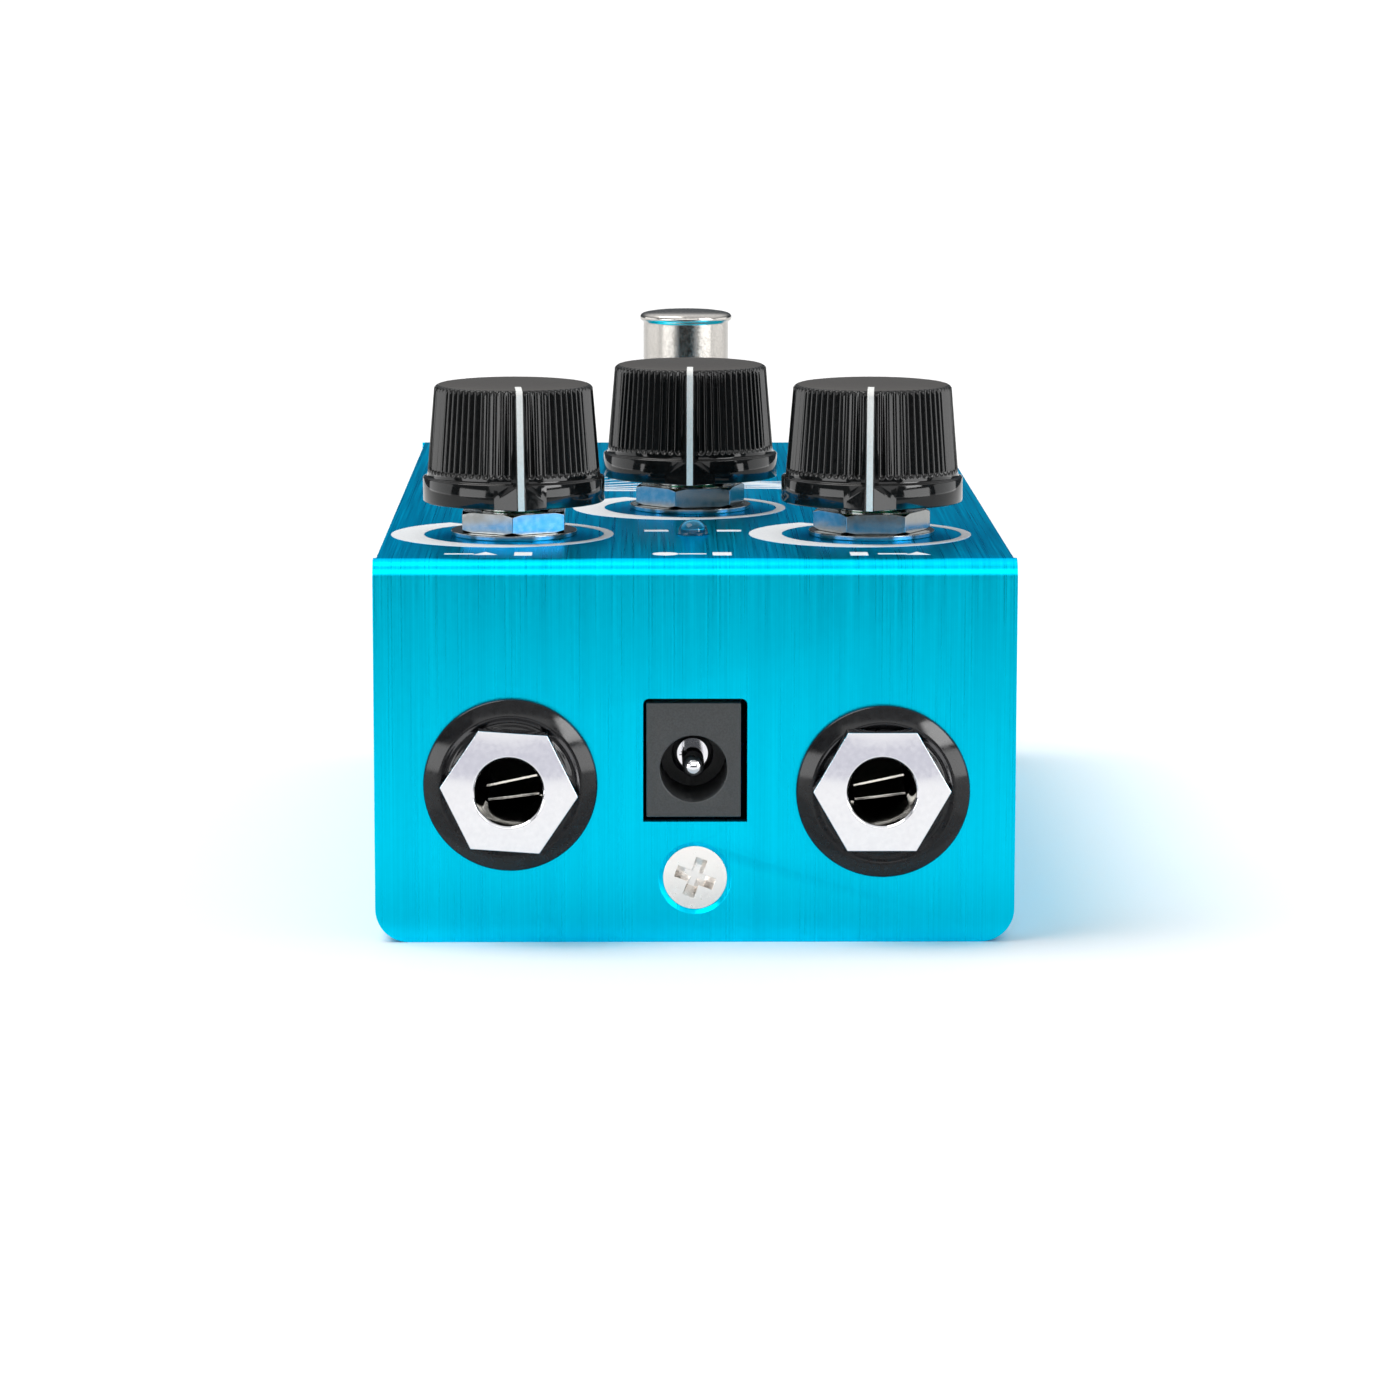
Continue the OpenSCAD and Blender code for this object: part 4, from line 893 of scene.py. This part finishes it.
# %% [markdown]
# ## Threads, nuts and washers on the panel
# A thread is one ridge wound round a core. A small triangle is spun several turns round the axis
# while it rises by one pitch a turn, and its two ends are capped. The core is turned like any round
# piece. The nuts are right in CAD, with the curved chamfers that a real nut has, so they are only
# softened.

# %% Threaded bushings
def thread_ridge(outer_r, depth, pitch, bottom, top, steps=48):
    ridge = bmesh.new()
    turns = int((top - bottom) / pitch) - 1
    corners = [(outer_r - depth, 0), (outer_r, pitch * 0.5), (outer_r - depth, pitch * 0.98)]
    points = [ridge.verts.new((r * MM, 0, (bottom + z) * MM)) for r, z in corners]
    loop = [ridge.edges.new((points[k], points[(k + 1) % 3])) for k in range(3)]
    bmesh.ops.spin(ridge, geom=points + loop, cent=(0, 0, 0), axis=(0, 0, 1),
                   dvec=(0, 0, pitch / steps * MM), angle=math.tau * turns, steps=steps * turns)
    bmesh.ops.holes_fill(ridge, edges=[e for e in ridge.edges if e.is_boundary], sides=4)
    bmesh.ops.recalc_face_normals(ridge, faces=ridge.faces)
    return ridge


def pot_bushing():
    outline = [(2.53, -2.5), (3.15, -2.5), (3.15, -1.5), (3.3, -1.5), (3.3, 3.3), (3.1, 3.5), (2.53, 3.5)]
    return joined([turned(outline, 64), thread_ridge(3.5, 0.22, 0.6, -1.4, 3.2)])


bushings = []
for side in SIDES:
    place = Vector((pot_axis[side].x, pot_axis[side].y, panel_z))
    bushings.append(moved(pot_bushing(), place))
bushings = as_piece(joined(bushings), "threaded_bushings", [zinc], "enclosure",
                    ["pot_bushings"])
softened("pot_nuts", "panel_nuts", zinc, 0.06, 2)
softened("pot_washers", "panel_washers", zinc, 0.09, 2)

# %% [markdown]
# ## The stomp switch
# The button is a nickel-plated cap with a rolled rim and a slightly domed top. It is turned from
# one outline with the hollow for the spring and the stem in it, and rides on its own body so that
# it travels when the joint moves. Its bushing has a fine thread all the way up, and a dressed nut
# holds it on the panel.

# %% Button, bushing and nut
def stomp_button():
    outline = [
        (0, 53.78), (2.0, 53.75), (3.4, 53.66), (4.3, 53.53), (4.75, 53.41), (4.98, 53.27), (5.1, 53.08),
        (5.125, 52.9), (5.08, 52.72), (4.96, 52.6), (4.85, 52.52), (4.78, 52.42), (4.75, 52.3),
        (4.75, 30.1), (4.6, 29.9), (3.8, 29.9), (3.75, 30.0), (3.75, 36.95), (1.6, 36.95), (1.6, 29.85),
        (0, 29.85),
    ]
    return turned(outline, 128, closed=False)


foot_place = Vector((foot_axis.x, foot_axis.y, 0))
button = as_piece(moved(stomp_button(), foot_place), "stomp_cap", [nickel], "stomp_button",
                  ["foot_button"], 40)
evenly_shaded(button)


def foot_bushing():
    outline = [
        (1.65, 33.9), (4.3, 33.9), (4.3, 34.65), (5.65, 34.65), (5.65, 46.3), (5.35, 46.6), (5.3, 46.65),
        (4.9, 46.65), (4.8, 46.55), (4.8, 35.35), (1.65, 35.35),
    ]
    return joined([turned(outline, 96), thread_ridge(6.0, 0.40, 0.75, 34.7, 46.5, 72)])


as_piece(moved(foot_bushing(), foot_place), "stomp_bushing", [nickel], "enclosure",
         ["foot_bushing"])
softened("foot_nut", "stomp_nut", nickel, 0.08, 2)

# %% [markdown]
# ## The lamp
# A 3 mm lamp is a cast lens with a dome, a collar at its foot and, inside, a small metal cup on one
# of its leads. The lens is turned; the cup is a second little turned piece, which gives the clear
# dome something to bend the light round.

# %% Lens and cup
lamp_low, lamp_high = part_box("led_lens")
LAMP_R = 1.5
lamp_x = (lamp_low.x + lamp_high.x) / 2
lamp_y = (lamp_low.y + lamp_high.y) / 2
lamp_foot = lamp_low.z / MM
lamp_top = lamp_high.z / MM
dome = [(LAMP_R * math.sin(math.radians(a)), lamp_top - LAMP_R + LAMP_R * math.cos(math.radians(a)))
        for a in range(0, 91, 10)]
collar = [(LAMP_R, lamp_foot + 1.0), (1.9, lamp_foot + 0.95), (1.95, lamp_foot + 0.9),
          (1.95, lamp_foot + 0.05), (1.9, lamp_foot), (0, lamp_foot)]
lens = moved(turned(dome + collar, 64, closed=False), (lamp_x, lamp_y, 0))
as_piece(lens, "lamp_lens", [lens_clear], "enclosure", ["led_lens"], 40)

cup_outline = [(0, 34.9), (0.35, 34.9), (0.55, 35.5), (0.75, 35.5), (0.6, 34.2), (0.25, 34.1), (0.25, 32.6),
               (0, 32.6)]
cup = moved(turned(cup_outline, 32, closed=False), (lamp_x + 0.3 * MM, lamp_y, 0))
as_piece(cup, "lamp_cup", [tinned], "enclosure")

# %% [markdown]
# ## Printed marks on the panel
# The panel is screen printed in white. Each knob has a scale ring that swells from thin to thick
# round the dial, made by bridging two circles, an inner one on the axis and a larger one whose centre
# is shifted sideways. The part of the ring that lies behind the knob is cut away between two planes.
# The ink is a real layer, two hundredths of a millimetre thick.

# %% Scale rings
INK = 0.02
RING_IN_R = 8.85
RING_OUT_R = 10.95
RING_SHIFT = -1.15


def inked(shape):
    """Gives flat, upward-facing marks the thickness of a coat of ink."""
    bmesh.ops.remove_doubles(shape, verts=shape.verts, dist=1e-7)
    for face in shape.faces:
        face.normal_update()
        if face.normal.z < 0:
            face.normal_flip()
    lifted = bmesh.ops.extrude_face_region(shape, geom=shape.faces[:])["geom"]
    bmesh.ops.translate(shape, verts=[v for v in lifted if isinstance(v, bmesh.types.BMVert)],
                        vec=(0, 0, INK * MM))
    bmesh.ops.recalc_face_normals(shape, faces=shape.faces)
    return shape


def scale_ring():
    ring = bmesh.new()
    inner = bmesh.ops.create_circle(ring, segments=120, radius=RING_IN_R * MM)["verts"]
    outer = bmesh.ops.create_circle(ring, segments=120, radius=RING_OUT_R * MM)["verts"]
    bmesh.ops.translate(ring, verts=outer, vec=(RING_SHIFT * MM, 0, 0))
    bmesh.ops.bridge_loops(ring, edges=ring.edges[:])
    gap = [f for f in ring.faces
           if 62 < math.degrees(math.atan2(f.calc_center_median().y, f.calc_center_median().x)) < 124]
    bmesh.ops.delete(ring, geom=gap, context="FACES")
    return inked(ring)


marks = []
for side in SIDES:
    marks.append(moved(scale_ring(), (pot_axis[side].x, pot_axis[side].y, panel_z)))

# %% [markdown]
# Small plain marks say what is what without any words: an arrow that points into the input jack, an
# arrow that points out of the output jack, a ring with a dot for the centre pin of the power inlet,
# and a pair of bars beside the lamp. A short helper draws each flat shape from circles of few
# corners.

# %% Plain marks
def flat_disc(x, y, radius, corners=24, turn=0, stretch=(1, 1, 1)):
    disc = bmesh.new()
    bmesh.ops.create_circle(disc, cap_ends=True, segments=corners, radius=radius * MM)
    bmesh.ops.rotate(disc, verts=disc.verts, matrix=Matrix.Rotation(math.radians(turn), 3, "Z"))
    bmesh.ops.scale(disc, verts=disc.verts, vec=stretch)
    bmesh.ops.translate(disc, verts=disc.verts, vec=(x * MM, y * MM, 0))
    return inked(disc)


def flat_bar(x, y, length, width):
    return flat_disc(x, y, math.sqrt(0.5), 4, 45, (length, width, 1))


rear_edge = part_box("top_cover")[0].y / MM + 4.6
jack_x = {way: washer_places[way].x / MM for way in REAR_WAYS}
arrow_in = [flat_disc(jack_x["input"] - 2.4, rear_edge, 1.7, 3, 0, (0.8, 0.9, 1)),
            flat_bar(jack_x["input"] - 4.9, rear_edge, 2.8, 0.8),
            flat_bar(jack_x["input"] + 1.2, rear_edge, 1.7, 2.6)]
arrow_out = [flat_disc(jack_x["output"] + 3.4, rear_edge, 1.7, 3, 0, (0.8, 0.9, 1)),
             flat_bar(jack_x["output"] + 1.0, rear_edge, 2.8, 0.8),
             flat_bar(jack_x["output"] - 2.2, rear_edge, 1.7, 2.6)]
inlet_mark = [flat_disc(-2.8, rear_edge, 1.25), flat_bar(-0.2, rear_edge, 2.6, 0.7),
              flat_bar(2.6, rear_edge, 1.8, 2.4)]
lamp_mark = [flat_bar(lamp_x / MM + side * 3.6, lamp_y / MM + 2.6, 2.4, 1.4) for side in (-1, 1)]
for mark in arrow_in + arrow_out + inlet_mark + lamp_mark:
    marks.append(moved(mark, (0, 0, panel_z)))

# %% [markdown]
# Beyond the middle knob the panel carries a band of thin waves, a plain pattern. Each wave is a
# narrow strip made from a grid, whose points are shifted by a sine of their place along it.

# %% Wave band
WAVES = 7
WAVE_LEN = 54


def wave(y, width, swing, shift):
    strip = bmesh.new()
    bmesh.ops.create_grid(strip, x_segments=90, y_segments=1, size=0.5)
    bmesh.ops.scale(strip, verts=strip.verts, vec=(WAVE_LEN * MM, width * MM, 1))
    for point in strip.verts:
        along = point.co.x / (WAVE_LEN * MM)
        fade = max(0.05, math.cos(along * math.pi)) ** 0.5
        point.co.y = point.co.y * fade
        point.co.y += (y + swing * math.sin(math.tau * (along * 2 + shift))) * MM
    return inked(strip)


wave_y = pot_axis["middle"].y / MM + 17
for k in range(WAVES):
    strip = wave(wave_y + 1.7 * k, 0.35 + 0.09 * (WAVES - k), 1.2 + 0.25 * k, 0.07 * k)
    marks.append(moved(strip, (0, 0, panel_z)))
as_piece(joined(marks), "panel_print", [ink_white], "enclosure")
